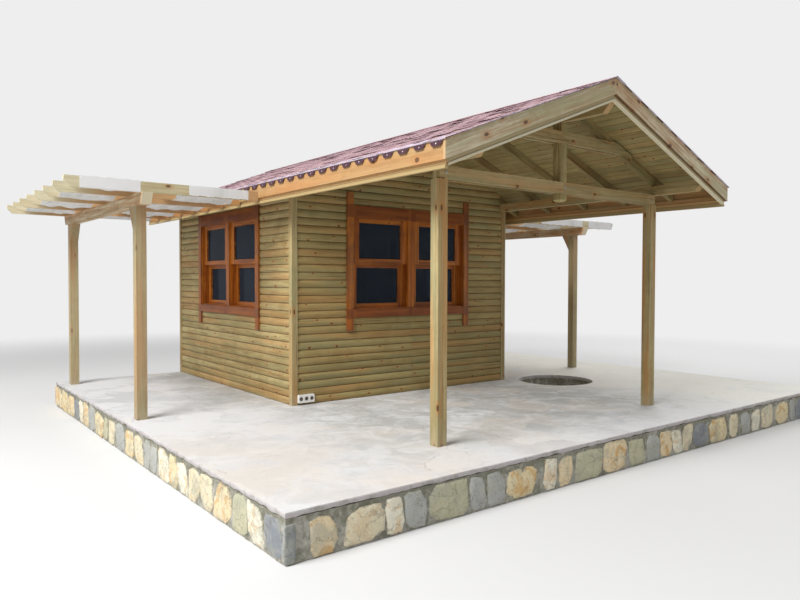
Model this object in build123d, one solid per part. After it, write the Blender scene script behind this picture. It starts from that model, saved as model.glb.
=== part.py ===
from build123d import *
import os
from math import ceil, cos, radians, tan

# Timber guard booth with a front porch and a pergola on each side, on a stone plinth.
# Millimetres. X runs along the gable front, Y from front to back, Z up.
# The origin is the middle of the booth's plan, on the underside of the plinth.
# Heights below are counted from the top of the plinth, and export() lifts everything onto it.

# Booth and its half-log walls
booth_width = 3300
booth_depth = 3500
wall_height = 2331
wall_thickness = 60
siding_courses = 27
siding_bulge = 13
corner_post_size = 70
corner_post_proud = 6

# Windows, alike on three walls: two lights side by side, each with two sliding sashes
window_width = 1760
window_sill = 1020
window_head = 2140
window_frame_thickness = 30
window_frame_depth = 136
mullion_width = 90
sash_stile = 97
sash_rail = 55
sash_thickness = 45
sash_recess = 28
sash_gap = 12
meeting_height = 1580
meeting_lap = 5
parting_bead_width = 10
glass_thickness = 4
glass_rebate = 8
trim_thickness = 22
trim_batten_width = 85
trim_lap = 20
trim_batten_bottom = 790
trim_head_width = 140
trim_sill_width = 95
front_batten_top = 2400

# Door in the back wall
door_width = 900
door_height = 2050
door_thickness = 44
door_frame_thickness = 35
door_trim_width = 85
door_clearance = 3
door_stop_width = 15
door_stop_gap = 0.3
door_handle_height = 1020
door_handle_length = 130
door_handle_diameter = 18
door_rose_diameter = 50
door_rose_thickness = 8
door_handle_reach = 55

# Roof
roof_pitch = 21.8
roof_half_span = 2010
eave_top = 2396
front_overhang = 2973
back_overhang = 350
roof_board_thickness = 20
shingle_thickness = 8
shingle_overhang = 12
ridge_cap_width = 130
ridge_cap_thickness = 5
fascia_thickness = 25
fascia_height = 150
lip_thickness = 22
lip_reveal = 55
lip_lap = 60
lip_bead_height = 22
lip_bead_proud = 8
barge_joint = 1
rafter_width = 45
rafter_depth = 95
porch_rafter_spaces = 4
room_rafter_spaces = 6

# Beams that carry the rafters
plate_width = 90
plate_height = 100
plate_inset = 10
ridge_beam_width = 70
ridge_beam_bottom = 2902
ridge_seat = 10
beam_end_chamfer = 70

# Porch posts and the front truss
porch_post_size = 100
porch_depth = 2384
porch_post_inset = 73
tie_height = 109
tie_end_inset = 25
king_post_width = 90
king_post_drop = 76
king_post_chamfer = 18
collar_bottom = 2705
collar_height = 112
collar_roof_gap = 20

# Pergolas
pergola_post_size = 100
pergola_reach_left = 1556
pergola_reach_right = 1884
pergola_beam_start = 30
pergola_beam_length = 3400
pergola_beam_bottom = 2100
pergola_beam_height = 115
pergola_beam_end_cut = 60
pergola_post_inset = 213
pergola_rafter_count = 8
pergola_rafter_width = 45
pergola_rafter_height = 100
pergola_rafter_overhang = 665
pergola_rafter_inset = 36
pergola_rafter_chamfer = 55
bracket_reach = 130
bracket_height = 230

# White canvas bands woven over and under the pergola rafters
# An outer band lies between the rafters' tips and the beam, an inner one between the beam and the fascia
canvas_thickness = 2
canvas_clearance = 0.3
left_band_from_tips = 130
left_outer_band_from_beam = 5
left_inner_band_from_beam = 360
left_band_from_fascia = 110
right_band_from_tips = 20
right_outer_band_from_beam = 45
right_inner_band_from_beam = 5
right_band_from_fascia = 459

# Plinth, wider on the side of the tree pit
plinth_height = 320
paving_thickness = 40
plinth_margin_left = 112
plinth_margin_right = 823
plinth_front = 3049
plinth_back_margin = 20
tree_pit_radius = 500
tree_pit_beside_wall = 535
tree_pit_before_wall = 465

# Triple socket outlet at the foot of the front wall
outlet_width = 200
outlet_height = 90
outlet_depth = 27
outlet_bottom = 25
outlet_corner_radius = 10
socket_count = 3
socket_diameter = 44
socket_depth = 15

# Worked out from the sizes above
half_width = booth_width / 2
half_depth = booth_depth / 2
course = wall_height / siding_courses
slope = tan(radians(roof_pitch))
drop_per_thickness = 1 / cos(radians(roof_pitch))
apex = eave_top + roof_half_span * slope
porch_front = -half_depth - porch_depth
roof_front = -half_depth - front_overhang
roof_back = half_depth + back_overhang
boards_bottom_drop = roof_board_thickness * drop_per_thickness
rafter_bottom_drop = boards_bottom_drop + rafter_depth * drop_per_thickness
plate_outer = half_width - plate_inset
plate_inner = plate_outer - plate_width
ridge_beam_top = apex - rafter_bottom_drop - ridge_seat + ridge_beam_width / 2 * slope
edge_depth = fascia_thickness + lip_thickness
rafter_foot = roof_half_span - edge_depth
beams_front = roof_front + edge_depth
beams_back = roof_back - edge_depth
tie_thickness = (porch_post_size - rafter_width) / 2


def block(x0, x1, y0, y1, z0, z1):
    """A square-cut piece between two opposite corners."""
    middle = Pos((x0 + x1) / 2, (y0 + y1) / 2, (z0 + z1) / 2)
    return middle * Box(x1 - x0, y1 - y0, z1 - z0)


def drawn_along_y(outline, y0, y1):
    """An outline of X and Z pairs, drawn out along Y."""
    edge = Polyline(*[(x, y0, z) for x, z in outline], close=True)
    return extrude(make_face(edge), y1 - y0, dir=(0, 1, 0))


def drawn_along_x(outline, x0, x1):
    """An outline of Y and Z pairs, drawn out along X."""
    edge = Polyline(*[(x0, y, z) for y, z in outline], close=True)
    return extrude(make_face(edge), x1 - x0, dir=(1, 0, 0))


def mirrored(shape):
    """The same piece on the other side of the ridge."""
    return mirror(shape, about=Plane.YZ)


def solids_of(shapes):
    """The separate solids of a list of shapes."""
    return [solid for shape in shapes for solid in shape.solids()]


def roof_top(x):
    """Height of the roof boards' top face at a distance from the ridge."""
    return apex - abs(x) * slope


def on_wall(side, shape):
    """Move a piece from a wall's own frame, with its outside towards -Y, to that wall."""
    turn, distance = {
        "front": (0, half_depth),
        "back": (180, half_depth),
        "left": (-90, half_width),
        "right": (90, half_width),
    }[side]
    return Rot(0, 0, turn) * Pos(0, corner_post_proud - distance, 0) * shape


# Walls

def siding(length, bottom, courses):
    """Half-log boards, one round-faced course above another, on a flat inner face."""
    rounds = []
    for number in range(courses):
        z0 = bottom + number * course
        z1 = z0 + course
        rounds.append(ThreePointArc(
            (-length / 2, siding_bulge, z0), (-length / 2, 0, (z0 + z1) / 2), (-length / 2, siding_bulge, z1)))
    top = bottom + courses * course
    back = Polyline(
        (-length / 2, siding_bulge, top), (-length / 2, wall_thickness, top),
        (-length / 2, wall_thickness, bottom), (-length / 2, siding_bulge, bottom))
    return extrude(make_face(rounds + back.edges()), length, dir=(1, 0, 0))


def opening(width, bottom, top):
    """The hole that a window or door leaves in its wall."""
    return block(-width / 2, width / 2, -wall_thickness, 2 * wall_thickness, bottom, top)


def walls():
    front = siding(booth_width - 2 * corner_post_size, 0, siding_courses)
    side = siding(booth_depth - 2 * corner_post_size, 0, siding_courses)
    window_hole = opening(window_width, window_sill, window_head)
    door_hole = opening(door_width + 2 * door_frame_thickness, 0, door_height + door_frame_thickness)
    return {
        "front_wall": [on_wall("front", front - window_hole)],
        "left_wall": [on_wall("left", side - window_hole)],
        "right_wall": [on_wall("right", side - window_hole)],
        "back_wall": [on_wall("back", front - door_hole)],
    }


def corner_posts():
    posts = []
    for x in (-half_width, half_width - corner_post_size):
        for y in (-half_depth, half_depth - corner_post_size):
            posts.append(block(x, x + corner_post_size, y, y + corner_post_size, 0, wall_height))
    return {"corner_posts": posts}


def gables():
    """Siding above the wall tops, cut to the roof and round the plates and the ridge beam."""
    courses = ceil((apex - wall_height) / course)
    boards = siding(booth_width, wall_height, courses)
    under_roof = drawn_along_y([
        (-plate_inner, wall_height), (plate_inner, wall_height),
        (plate_inner, roof_top(plate_inner) - boards_bottom_drop), (0, apex - boards_bottom_drop),
        (-plate_inner, roof_top(plate_inner) - boards_bottom_drop)], -wall_thickness, 2 * wall_thickness)
    beam_slot = block(
        -ridge_beam_width / 2, ridge_beam_width / 2, -wall_thickness, 2 * wall_thickness, ridge_beam_bottom, apex)
    gable = boards & under_roof
    gable = gable - beam_slot
    return {
        "front_gable": [on_wall("front", gable)],
        "back_gable": [on_wall("back", gable)],
    }


# Windows

def sash(x0, x1, z0, z1, y0):
    """A sash frame grooved for its glass, and the pane that sits in it."""
    frame = block(x0, x1, y0, y0 + sash_thickness, z0, z1)
    frame -= block(
        x0 + sash_stile, x1 - sash_stile, y0, y0 + sash_thickness, z0 + sash_rail, z1 - sash_rail)
    middle = y0 + sash_thickness / 2
    pane = block(
        x0 + sash_stile - glass_rebate, x1 - sash_stile + glass_rebate,
        middle - glass_thickness / 2, middle + glass_thickness / 2,
        z0 + sash_rail - glass_rebate, z1 - sash_rail + glass_rebate)
    return frame - pane, pane


def window(batten_top):
    """Frame with its trim, four sashes, four panes and four parting beads, in a wall's own frame."""
    half = window_width / 2
    inner = half - window_frame_thickness
    frame = block(-half, half, 0, window_frame_depth, window_sill, window_head)
    for x0, x1 in ((-inner, -mullion_width / 2), (mullion_width / 2, inner)):
        frame -= block(
            x0, x1, 0, window_frame_depth,
            window_sill + window_frame_thickness, window_head - window_frame_thickness)
    clear = half - trim_lap
    for x in (-clear - trim_batten_width, clear):
        frame += block(x, x + trim_batten_width, -trim_thickness, 0, trim_batten_bottom, batten_top)
    frame += block(-clear, clear, -trim_thickness, 0, window_head - window_frame_thickness,
                   window_head - window_frame_thickness + trim_head_width)
    sill_board_top = window_sill + trim_lap
    frame += block(-clear, clear, -trim_thickness, 0, sill_board_top - trim_sill_width, sill_board_top)
    sashes = []
    panes = []
    beads = []
    bead_y = sash_recess + sash_thickness
    lower_y = bead_y + sash_gap
    sill_top = window_sill + window_frame_thickness
    head_bottom = window_head - window_frame_thickness
    for x0, x1 in ((-inner, -mullion_width / 2), (mullion_width / 2, inner)):
        for z0, z1, y0 in (
                (meeting_height, head_bottom, sash_recess),
                (sill_top, meeting_height + meeting_lap, lower_y)):
            leaf, pane = sash(x0, x1, z0, z1, y0)
            sashes.append(leaf)
            panes.append(pane)
        for x in (x0, x1 - parting_bead_width):
            beads.append(block(x, x + parting_bead_width, bead_y, lower_y, sill_top, head_bottom))
    return frame, sashes, panes, beads


def windows():
    nodes = {"window_glass": [], "parting_beads": []}
    for side, batten_top in (("front", front_batten_top), ("left", wall_height), ("right", wall_height)):
        frame, sashes, panes, beads = window(batten_top)
        nodes[side + "_window_frame"] = [on_wall(side, frame)]
        nodes[side + "_window_sashes"] = [on_wall(side, leaf) for leaf in sashes]
        nodes["window_glass"] += [on_wall(side, pane) for pane in panes]
        nodes["parting_beads"] += [on_wall(side, bead) for bead in beads]
    return nodes


# Door

def door():
    """A closed boarded door, its frame with trim, and a lever handle outside."""
    half = door_width / 2
    outer = half + door_frame_thickness
    frame = block(-outer, outer, 0, wall_thickness, 0, door_height + door_frame_thickness)
    frame -= block(-half, half, 0, door_thickness + door_stop_gap, 0, door_height)
    stop = half - door_stop_width
    frame -= block(-stop, stop, 0, wall_thickness, 0, door_height - door_stop_width)
    trim_top = door_height + door_trim_width
    for x in (-half - door_trim_width, half):
        frame += block(x, x + door_trim_width, -trim_thickness, 0, 0, trim_top)
    frame += block(-half, half, -trim_thickness, 0, door_height, trim_top)
    leaf = block(-half + door_clearance, half - door_clearance, 0, door_thickness,
                 door_clearance, door_height - door_clearance)
    x = half - 2 * door_rose_diameter
    rose = Pos(x, -door_rose_thickness / 2, door_handle_height) * Rot(90, 0, 0) * Cylinder(
        door_rose_diameter / 2, door_rose_thickness)
    neck = Pos(x, -door_handle_reach / 2, door_handle_height) * Rot(90, 0, 0) * Cylinder(
        door_handle_diameter / 2, door_handle_reach)
    grip = Pos(x - door_handle_length / 2, -door_handle_reach, door_handle_height) * Rot(0, 90, 0) * Cylinder(
        door_handle_diameter / 2, door_handle_length)
    return {
        "back_door_frame": [on_wall("back", frame)],
        "back_door": [on_wall("back", leaf)],
        "back_door_handle": [on_wall("back", rose + neck + grip)],
    }


# Roof frame

def slanted_beam(x0, x1, bottom, top):
    """A beam from front to back with its ends cut back below."""
    profile = [
        (beams_front, top), (beams_front, bottom + beam_end_chamfer), (beams_front + beam_end_chamfer, bottom),
        (beams_back - beam_end_chamfer, bottom), (beams_back, bottom + beam_end_chamfer), (beams_back, top)]
    return drawn_along_x(profile, x0, x1)


def beams():
    left = slanted_beam(-plate_outer, -plate_inner, wall_height, wall_height + plate_height)
    ridge = slanted_beam(-ridge_beam_width / 2, ridge_beam_width / 2, ridge_beam_bottom, ridge_beam_top)
    return {"eave_plate_left": [left], "eave_plate_right": [mirrored(left)], "ridge_beam": [ridge]}


def rafter_lines():
    """Middle of each rafter pair: the truss, the porch, the room and the back overhang."""
    truss = porch_front + porch_post_size / 2
    first = -half_depth + corner_post_proud + wall_thickness + rafter_width / 2
    last = -first
    lines = [truss + (first - truss) * number / porch_rafter_spaces for number in range(porch_rafter_spaces)]
    lines += [first + (last - first) * number / room_rafter_spaces for number in range(room_rafter_spaces + 1)]
    lines.append(beams_back - rafter_width / 2)
    return lines


def rafters():
    """Right-hand rafters, notched over the plate and the ridge beam, and their mirror pieces."""
    shape = [
        (0, apex - boards_bottom_drop), (rafter_foot, roof_top(rafter_foot) - boards_bottom_drop),
        (rafter_foot, roof_top(rafter_foot) - rafter_bottom_drop), (0, apex - rafter_bottom_drop)]
    seats = block(
        plate_inner, plate_outer, beams_front, beams_back, wall_height, wall_height + plate_height)
    seats += block(
        -ridge_beam_width / 2, ridge_beam_width / 2, beams_front, beams_back, ridge_beam_bottom, ridge_beam_top)
    right = []
    for y in rafter_lines():
        right.append(drawn_along_y(shape, y - rafter_width / 2, y + rafter_width / 2) - seats)
    return {"rafters_left": [mirrored(piece) for piece in right], "rafters_right": right}


# Roof covering and edges

def roof_slab(x_out, y0, y1, lift, thickness):
    """One side of a layer that lies on the slope, its underside lifted above the boards' top."""
    low = lift * drop_per_thickness
    high = (lift + thickness) * drop_per_thickness
    return drawn_along_y([
        (0, apex + low), (x_out, roof_top(x_out) + low), (x_out, roof_top(x_out) + high),
        (0, apex + high)], y0, y1)


def roof_band(x0, x1, upper, lower, y0, y1):
    """A sloping board between two distances straight down from the boards' top face."""
    return drawn_along_y([
        (x0, roof_top(x0) - upper), (x1, roof_top(x1) - upper),
        (x1, roof_top(x1) - lower), (x0, roof_top(x0) - lower)], y0, y1)


def roof():
    boards = roof_slab(
        roof_half_span - fascia_thickness, roof_front + fascia_thickness, roof_back - fascia_thickness,
        -roof_board_thickness, roof_board_thickness)
    shingles = roof_slab(
        roof_half_span + shingle_overhang, roof_front - shingle_overhang, roof_back + shingle_overhang,
        0, shingle_thickness)
    cap = roof_slab(
        ridge_cap_width, roof_front - shingle_overhang, roof_back + shingle_overhang,
        shingle_thickness, ridge_cap_thickness)
    return {
        "roof_boards_left": [mirrored(boards)],
        "roof_boards_right": [boards],
        "shingles_left": [mirrored(shingles)],
        "shingles_right": [shingles],
        "ridge_cap": [cap + mirrored(cap)],
    }


def roof_edges():
    """Fascias along the eaves and barge boards up the gables, each with a set-back lip and its bead below."""
    outer = roof_half_span
    inner = outer - fascia_thickness
    bead_face = inner + lip_bead_proud
    board_bottom = eave_top - fascia_height
    lip_bottom = board_bottom - lip_reveal
    bead_top = lip_bottom + lip_bead_height
    fascia = drawn_along_y([
        (outer, roof_top(outer)), (outer, board_bottom), (inner, board_bottom), (inner, bead_top),
        (bead_face, bead_top), (bead_face, lip_bottom), (rafter_foot, lip_bottom),
        (rafter_foot, board_bottom + lip_lap), (inner, board_bottom + lip_lap), (inner, roof_top(inner))],
        roof_front + fascia_thickness, roof_back - fascia_thickness)
    nodes = {"fascia_left": [mirrored(fascia)], "fascia_right": [fascia]}
    joint = barge_joint / 2
    for name, face, inward in (("barge_boards_front", roof_front, 1), ("barge_boards_back", roof_back, -1)):
        back_face = face + inward * fascia_thickness
        board = roof_band(
            joint, outer, 0, fascia_height, *sorted((face, back_face)))
        lip_end = fascia_height + lip_reveal
        lip = roof_band(
            joint, rafter_foot, fascia_height - lip_lap, lip_end,
            *sorted((back_face, back_face + inward * lip_thickness)))
        lip += roof_band(
            joint, rafter_foot, lip_end - lip_bead_height, lip_end,
            *sorted((back_face - inward * lip_bead_proud, back_face)))
        right = board + lip
        nodes[name] = [mirrored(right), right]
    return nodes


# Porch and its truss

def roof_end(height):
    """Distance from the ridge at which a collar board stops under the roof boards, at one of its edges."""
    return (apex - boards_bottom_drop - collar_roof_gap - height) / slope


def king_post(front, back, bottom):
    """A post hung from the ridge beam, its lower end chamfered all round."""
    post = block(-king_post_width / 2, king_post_width / 2, front, back, bottom, ridge_beam_bottom)
    return chamfer(post.faces().sort_by(Axis.Z)[0].edges(), king_post_chamfer)


def porch():
    """Two posts notched for a pair of tie boards, and a king post between those and a pair of collar boards."""
    front = porch_front
    back = front + porch_post_size
    outer = half_width - porch_post_inset
    tie_bottom = wall_height - tie_height
    tie_half = outer - tie_end_inset
    collar_top = collar_bottom + collar_height
    collar_outline = [
        (-roof_end(collar_bottom), collar_bottom), (roof_end(collar_bottom), collar_bottom),
        (roof_end(collar_top), collar_top), (-roof_end(collar_top), collar_top)]
    post = block(outer - porch_post_size, outer, front, back, 0, wall_height)
    king = king_post(front, back, tie_bottom - king_post_drop)
    ties = []
    collars = []
    for y0 in (front, back - tie_thickness):
        y1 = y0 + tie_thickness
        tie = block(-tie_half, tie_half, y0, y1, tie_bottom, wall_height)
        collar = drawn_along_y(collar_outline, y0, y1)
        post -= block(0, outer, y0, y1, tie_bottom, wall_height)
        king = king - tie - collar
        ties.append(tie)
        collars.append(collar)
    return {
        "porch_posts": [post, mirrored(post)],
        "tie_boards": ties,
        "king_post": [king],
        "collar_boards": collars,
    }


# Pergolas

def pergola_rafter_starts(start, end):
    """Front face of each pergola rafter, evenly spaced along the beam."""
    first = start + pergola_rafter_inset
    last = end - pergola_rafter_inset - pergola_rafter_width
    spaces = pergola_rafter_count - 1
    return [first + (last - first) * number / spaces for number in range(pergola_rafter_count)]


def pergola(side, reach, outer_band, inner_band):
    """Posts, beam, brackets, rafters and canvas beside one wall, made on the right-hand side.

    A band is given by its distances from what lies on its outer side and on its inner side.
    """
    outer = half_width + reach
    inner = outer - pergola_post_size
    start = pergola_beam_start - half_depth
    end = start + pergola_beam_length
    beam_top = pergola_beam_bottom + pergola_beam_height
    near = start + pergola_post_inset
    far = end - pergola_post_inset
    posts = [
        block(inner, outer, near, near + pergola_post_size, 0, pergola_beam_bottom),
        block(inner, outer, far - pergola_post_size, far, 0, pergola_beam_bottom)]
    beam = drawn_along_x([
        (start, beam_top), (start + pergola_beam_end_cut, pergola_beam_bottom),
        (end - pergola_beam_end_cut, pergola_beam_bottom), (end, beam_top)], inner, outer)
    brackets = []
    for face, inward in ((near + pergola_post_size, 1), (far - pergola_post_size, -1)):
        brackets.append(drawn_along_x([
            (face, pergola_beam_bottom), (face + inward * bracket_reach, pergola_beam_bottom),
            (face, pergola_beam_bottom - bracket_height)], inner, outer))
    tip = outer + pergola_rafter_overhang
    rafter_top = beam_top + pergola_rafter_height
    shape = [
        (roof_half_span, beam_top), (tip - pergola_rafter_chamfer, beam_top),
        (tip, beam_top + pergola_rafter_chamfer), (tip, rafter_top), (roof_half_span, rafter_top)]
    starts = pergola_rafter_starts(start, end)
    rafters = [drawn_along_y(shape, y, y + pergola_rafter_width) for y in starts]
    bands = [
        canvas(outer + outer_band[1], tip - outer_band[0], starts, beam_top, False),
        canvas(roof_half_span + inner_band[1], inner - inner_band[0], starts, beam_top, True)]
    pieces = {
        "posts": posts, "beam": [beam], "brackets": brackets, "rafters": rafters, "canvas": bands}
    if side == "left":
        pieces = {key: [mirrored(piece) for piece in shapes] for key, shapes in pieces.items()}
    return {"pergola_" + side + "_" + key: shapes for key, shapes in pieces.items()}


def canvas(x0, x1, starts, bottom, over_first):
    """A band that passes under one rafter and over the next, with a flap down its first and last."""
    gap = canvas_clearance
    under = bottom - gap - canvas_thickness
    over = bottom + pergola_rafter_height + gap
    front = starts[0] - gap - canvas_thickness
    back = starts[-1] + pergola_rafter_width + gap + canvas_thickness
    lower = []
    upper = []
    for number, y in enumerate(starts):
        level = over if (number % 2 == 0) == over_first else under
        for edge in (y - gap - canvas_thickness, y + pergola_rafter_width + gap + canvas_thickness):
            lower.append((edge, level))
            upper.append((edge, level + canvas_thickness))
    band = drawn_along_x(lower + upper[::-1], x0, x1)
    band += block(x0, x1, front, front + canvas_thickness, under, over + canvas_thickness)
    band += block(x0, x1, back - canvas_thickness, back, under, over + canvas_thickness)
    return band


# Plinth

def plinth():
    left = -half_width - pergola_reach_left - plinth_margin_left
    right = half_width + pergola_reach_right + plinth_margin_right
    front = -half_depth - plinth_front
    back = half_depth + plinth_back_margin
    middle = Pos(half_width + tree_pit_beside_wall, -half_depth - tree_pit_before_wall, -plinth_height / 2)
    pit = middle * Cylinder(tree_pit_radius, 2 * plinth_height)
    body = block(left, right, front, back, -plinth_height, -paving_thickness) - pit
    paving = block(left, right, front, back, -paving_thickness, 0) - pit
    return {"plinth_body": [body], "plinth_paving": [paving]}


# Outlet

def socket_outlet():
    """A round-cornered box on the front boards, beside the corner post, with a row of round sockets."""
    left = -half_width + corner_post_size
    back = -half_depth + corner_post_proud
    front = back - outlet_depth
    outlet = block(left, left + outlet_width, front, back, outlet_bottom, outlet_bottom + outlet_height)
    outlet = fillet(outlet.edges().filter_by(Axis.Y), outlet_corner_radius)
    pitch = outlet_width / socket_count
    for number in range(socket_count):
        middle = Pos(left + (number + 0.5) * pitch, front, outlet_bottom + outlet_height / 2)
        outlet -= middle * Rot(90, 0, 0) * Cylinder(socket_diameter / 2, 2 * socket_depth)
    return {"socket_outlet": [outlet]}


def model():
    nodes = {}
    nodes.update(plinth())
    nodes.update(corner_posts())
    nodes.update(walls())
    nodes.update(gables())
    nodes.update(windows())
    nodes.update(door())
    nodes.update(beams())
    nodes.update(rafters())
    nodes.update(roof())
    nodes.update(roof_edges())
    nodes.update(porch())
    nodes.update(pergola(
        "left", pergola_reach_left, (left_band_from_tips, left_outer_band_from_beam),
        (left_inner_band_from_beam, left_band_from_fascia)))
    nodes.update(pergola(
        "right", pergola_reach_right, (right_band_from_tips, right_outer_band_from_beam),
        (right_inner_band_from_beam, right_band_from_fascia)))
    nodes.update(socket_outlet())
    return nodes


def export(nodes):
    os.makedirs("parts", exist_ok=True)
    for name, shapes in nodes.items():
        lifted = [Pos(0, 0, plinth_height) * solid for solid in solids_of(shapes)]
        export_step(Compound(lifted) if len(lifted) > 1 else lifted[0], "parts/" + name + ".step")


export(model())
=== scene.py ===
"""Looks for a timber guard booth: boards, stones, shingles, canvas, glass and the studio round it."""

import math
import random

import bmesh
import bpy
from bpy.props import FloatProperty, FloatVectorProperty, IntProperty, PointerProperty
from mathutils import Matrix, Vector, noise


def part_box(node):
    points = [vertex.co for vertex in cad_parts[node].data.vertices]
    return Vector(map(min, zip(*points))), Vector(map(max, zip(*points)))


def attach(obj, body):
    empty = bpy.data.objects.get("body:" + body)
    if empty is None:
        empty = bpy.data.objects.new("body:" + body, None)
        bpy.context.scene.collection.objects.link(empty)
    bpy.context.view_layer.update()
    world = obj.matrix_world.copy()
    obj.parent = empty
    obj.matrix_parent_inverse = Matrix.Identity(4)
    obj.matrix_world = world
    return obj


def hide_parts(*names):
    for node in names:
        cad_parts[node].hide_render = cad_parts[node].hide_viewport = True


bl_info = {
    "name": "Timber guard booth",
    "version": (1, 0, 0),
    "blender": (4, 5, 0),
    "location": "View3D > Sidebar > Booth",
    "description": "Finishes for a timber guard booth on a rubble-stone plinth",
    "category": "Object",
}

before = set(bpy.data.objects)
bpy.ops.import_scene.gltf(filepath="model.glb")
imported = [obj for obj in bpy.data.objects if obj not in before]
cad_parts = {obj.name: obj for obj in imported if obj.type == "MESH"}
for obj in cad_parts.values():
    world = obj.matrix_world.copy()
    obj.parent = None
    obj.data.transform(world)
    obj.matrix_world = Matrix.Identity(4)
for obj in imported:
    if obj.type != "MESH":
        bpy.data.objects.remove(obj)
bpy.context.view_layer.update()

# Sizes of the solids, in metres, that the finishes line up with
PLINTH_HEIGHT = 0.32
COURSE_HEIGHT = 2.331 / 27
ROOF_PITCH = math.radians(21.8)
EAVE_REACH = 2.01
EAVE_HEIGHT = 2.716
APEX_HEIGHT = EAVE_HEIGHT + EAVE_REACH * math.tan(ROOF_PITCH)
FASCIA_HEIGHT = 0.15
LIP_HEIGHT = 0.205
LIP_BEAD = 0.022
RIDGE_CAP_REACH = 0.13
FIRST_PERGOLA_RAFTER = -1.684
PERGOLA_RAFTER_SPACING = 3.283 / 7
PERGOLA_RAFTER_WIDTH = 0.045
PERGOLA_RAFTER_COUNT = 8
PERGOLA_BEAM_JOINT = -0.76
TREE_PIT_MIDDLE = (2.185, -2.215)
TREE_PIT_RADIUS = 0.5
SOCKET_SPACING = 0.2 / 3
SOCKET_RADIUS = 0.022

# Stones that show best: where each starts and ends along its side, and its kind
FRONT_STONES = (
    (0.0, 0.075, "slate"), (0.177, 0.369, "rust"), (0.428, 0.73, "sand"), (0.746, 0.887, "cream"),
    (0.904, 1.087, "grey"), (1.114, 1.472, "olive"), (1.501, 1.653, "grey"), (1.674, 1.854, "grey"),
    (1.887, 2.204, "ochre"), (2.311, 2.458, "cream"), (2.496, 2.662, "rust"), (2.702, 3.071, "olive"),
    (3.085, 3.426, "rust"), (3.472, 3.709, "olive"), (3.758, 3.959, "grey"), (3.976, 4.167, "rust"),
    (4.185, 4.347, "cream"), (4.365, 4.533, "sand"), (4.56, 4.86, "slate"), (4.885, 5.239, "ochre"),
    (5.304, 5.48, "sand"), (5.571, 5.755, "grey"), (5.802, 5.994, "cream"), (6.042, 6.318, "sand"),
    (6.395, 6.714, "ochre"), (6.769, 6.908, "grey"))
LEFT_STONES = (
    (2.656, 2.884, "sand"), (2.957, 3.239, "grey"), (3.273, 3.534, "ochre"), (3.598, 3.81, "sand"),
    (3.869, 4.013, "grey"), (4.041, 4.205, "grey"), (4.258, 4.513, "cream"), (4.538, 4.728, "ochre"),
    (4.751, 4.931, "cream"), (4.974, 5.203, "sand"), (5.224, 5.455, "sand"), (5.492, 5.774, "rust"),
    (5.807, 6.031, "olive"), (6.046, 6.267, "cream"), (6.295, 6.523, "slate"))


def srgb(red, green, blue):
    """A colour as it looks on screen, from 0 to 255, in linear values."""
    def linear(share):
        return share / 12.92 if share <= 0.04045 else ((share + 0.055) / 1.055) ** 2.4
    return (*[linear(value / 255) for value in (red, green, blue)], 1.0)


def colour(name, description, *default):
    """A colour property of an add-on panel."""
    return FloatVectorProperty(name=name, description=description, subtype="COLOR", size=4, min=0, max=1,
                               default=srgb(*default))


def length(name, description, default):
    """A length property of an add-on panel."""
    return FloatProperty(name=name, description=description, default=default, min=0, unit="LENGTH")


def power(name, description, default):
    """A lamp's power in an add-on panel."""
    return FloatProperty(name=name, description=description, default=default, min=0, unit="POWER")


# Settings that a user would change

class BoothTimber(bpy.types.PropertyGroup):
    """Colours of the sawn timber."""
    siding_pale: colour("Siding, pale", "Pale streaks of the half-log boards", 194, 176, 126)
    siding_dark: colour("Siding, dark", "Dark streaks of the half-log boards", 136, 116, 70)
    siding_warm: colour("Siding, warm", "Orange patches of the half-log boards", 184, 134, 80)
    siding_aged: colour("Siding, aged", "Green tint of the treated boards", 140, 138, 98)
    post_pale: colour("Posts, pale", "Pale wood of the posts", 186, 170, 124)
    post_dark: colour("Posts, dark", "Grain of the posts", 138, 116, 74)
    post_warm: colour("Posts, warm", "Orange heartwood streaks of the posts", 186, 122, 56)
    beam_pale: colour("Beams, pale", "Pale wood of beams and rafters", 186, 169, 124)
    beam_dark: colour("Beams, dark", "Grain of beams and rafters", 140, 120, 76)
    beam_warm: colour("Beams, warm", "Orange streaks of beams and rafters", 182, 130, 74)
    beam_aged: colour("Beams, aged", "Green tint of posts, beams and rafters", 150, 148, 110)
    rafter_pale: colour("Pergola rafters, pale", "Bleached wood of the pergola's rafters", 214, 206, 176)
    rafter_dark: colour("Pergola rafters, dark", "Grain of the pergola's rafters", 170, 156, 116)
    end_grain: colour("End grain", "Sawn ends of the pergola's rafters", 208, 200, 172)
    fascia_pale: colour("Fascia, pale", "Pale planed wood of the fascias", 184, 146, 99)
    fascia_dark: colour("Fascia, dark", "Grain of fascias and barge boards", 156, 116, 72)
    fascia_warm: colour("Fascia, warm", "Honey streaks of fascias and barge boards", 186, 128, 76)
    fascia_aged: colour("Fascia, aged", "Olive tint of fascias and barge boards", 166, 160, 120)
    barge_pale: colour("Barge boards, pale", "Pale wood of the barge boards", 226, 219, 190)
    # Partly painted light: lighter than the fascia board, against the shade under the board
    lip_honey: colour("Lip, honey", "Upper strip of the lip under a fascia", 200, 162, 110)
    lip_cream: colour("Lip, cream", "Bead along the lip's lower edge", 160, 144, 102)
    # Also painted shade: the walls and gables along X, the rafters and the king post take this pale
    soffit_pale_and_painted_shade: colour("Soffit, pale", "Pale wood under the roof and of the front wall", 176, 160, 108)
    # Painted shade: this dark grain darkens the rafters and king post under the porch roof
    soffit_dark: colour("Soffit, dark", "Grain under the roof", 130, 114, 70)
    soffit_shade: colour("Soffit, shade", "Grain of rafters and king post", 104, 84, 50)
    # Painted shade: honey-brown for the middle of the pergola rafters behind the first one
    shaded: colour("Shaded wood", "Honey-brown middle of the pergola's rafters", 184, 134, 82)
    knot: colour("Knots", "Knots and deep cracks", 78, 52, 32)
    grime: colour("Grime", "Dust at the foot of the posts", 176, 168, 146)


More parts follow.
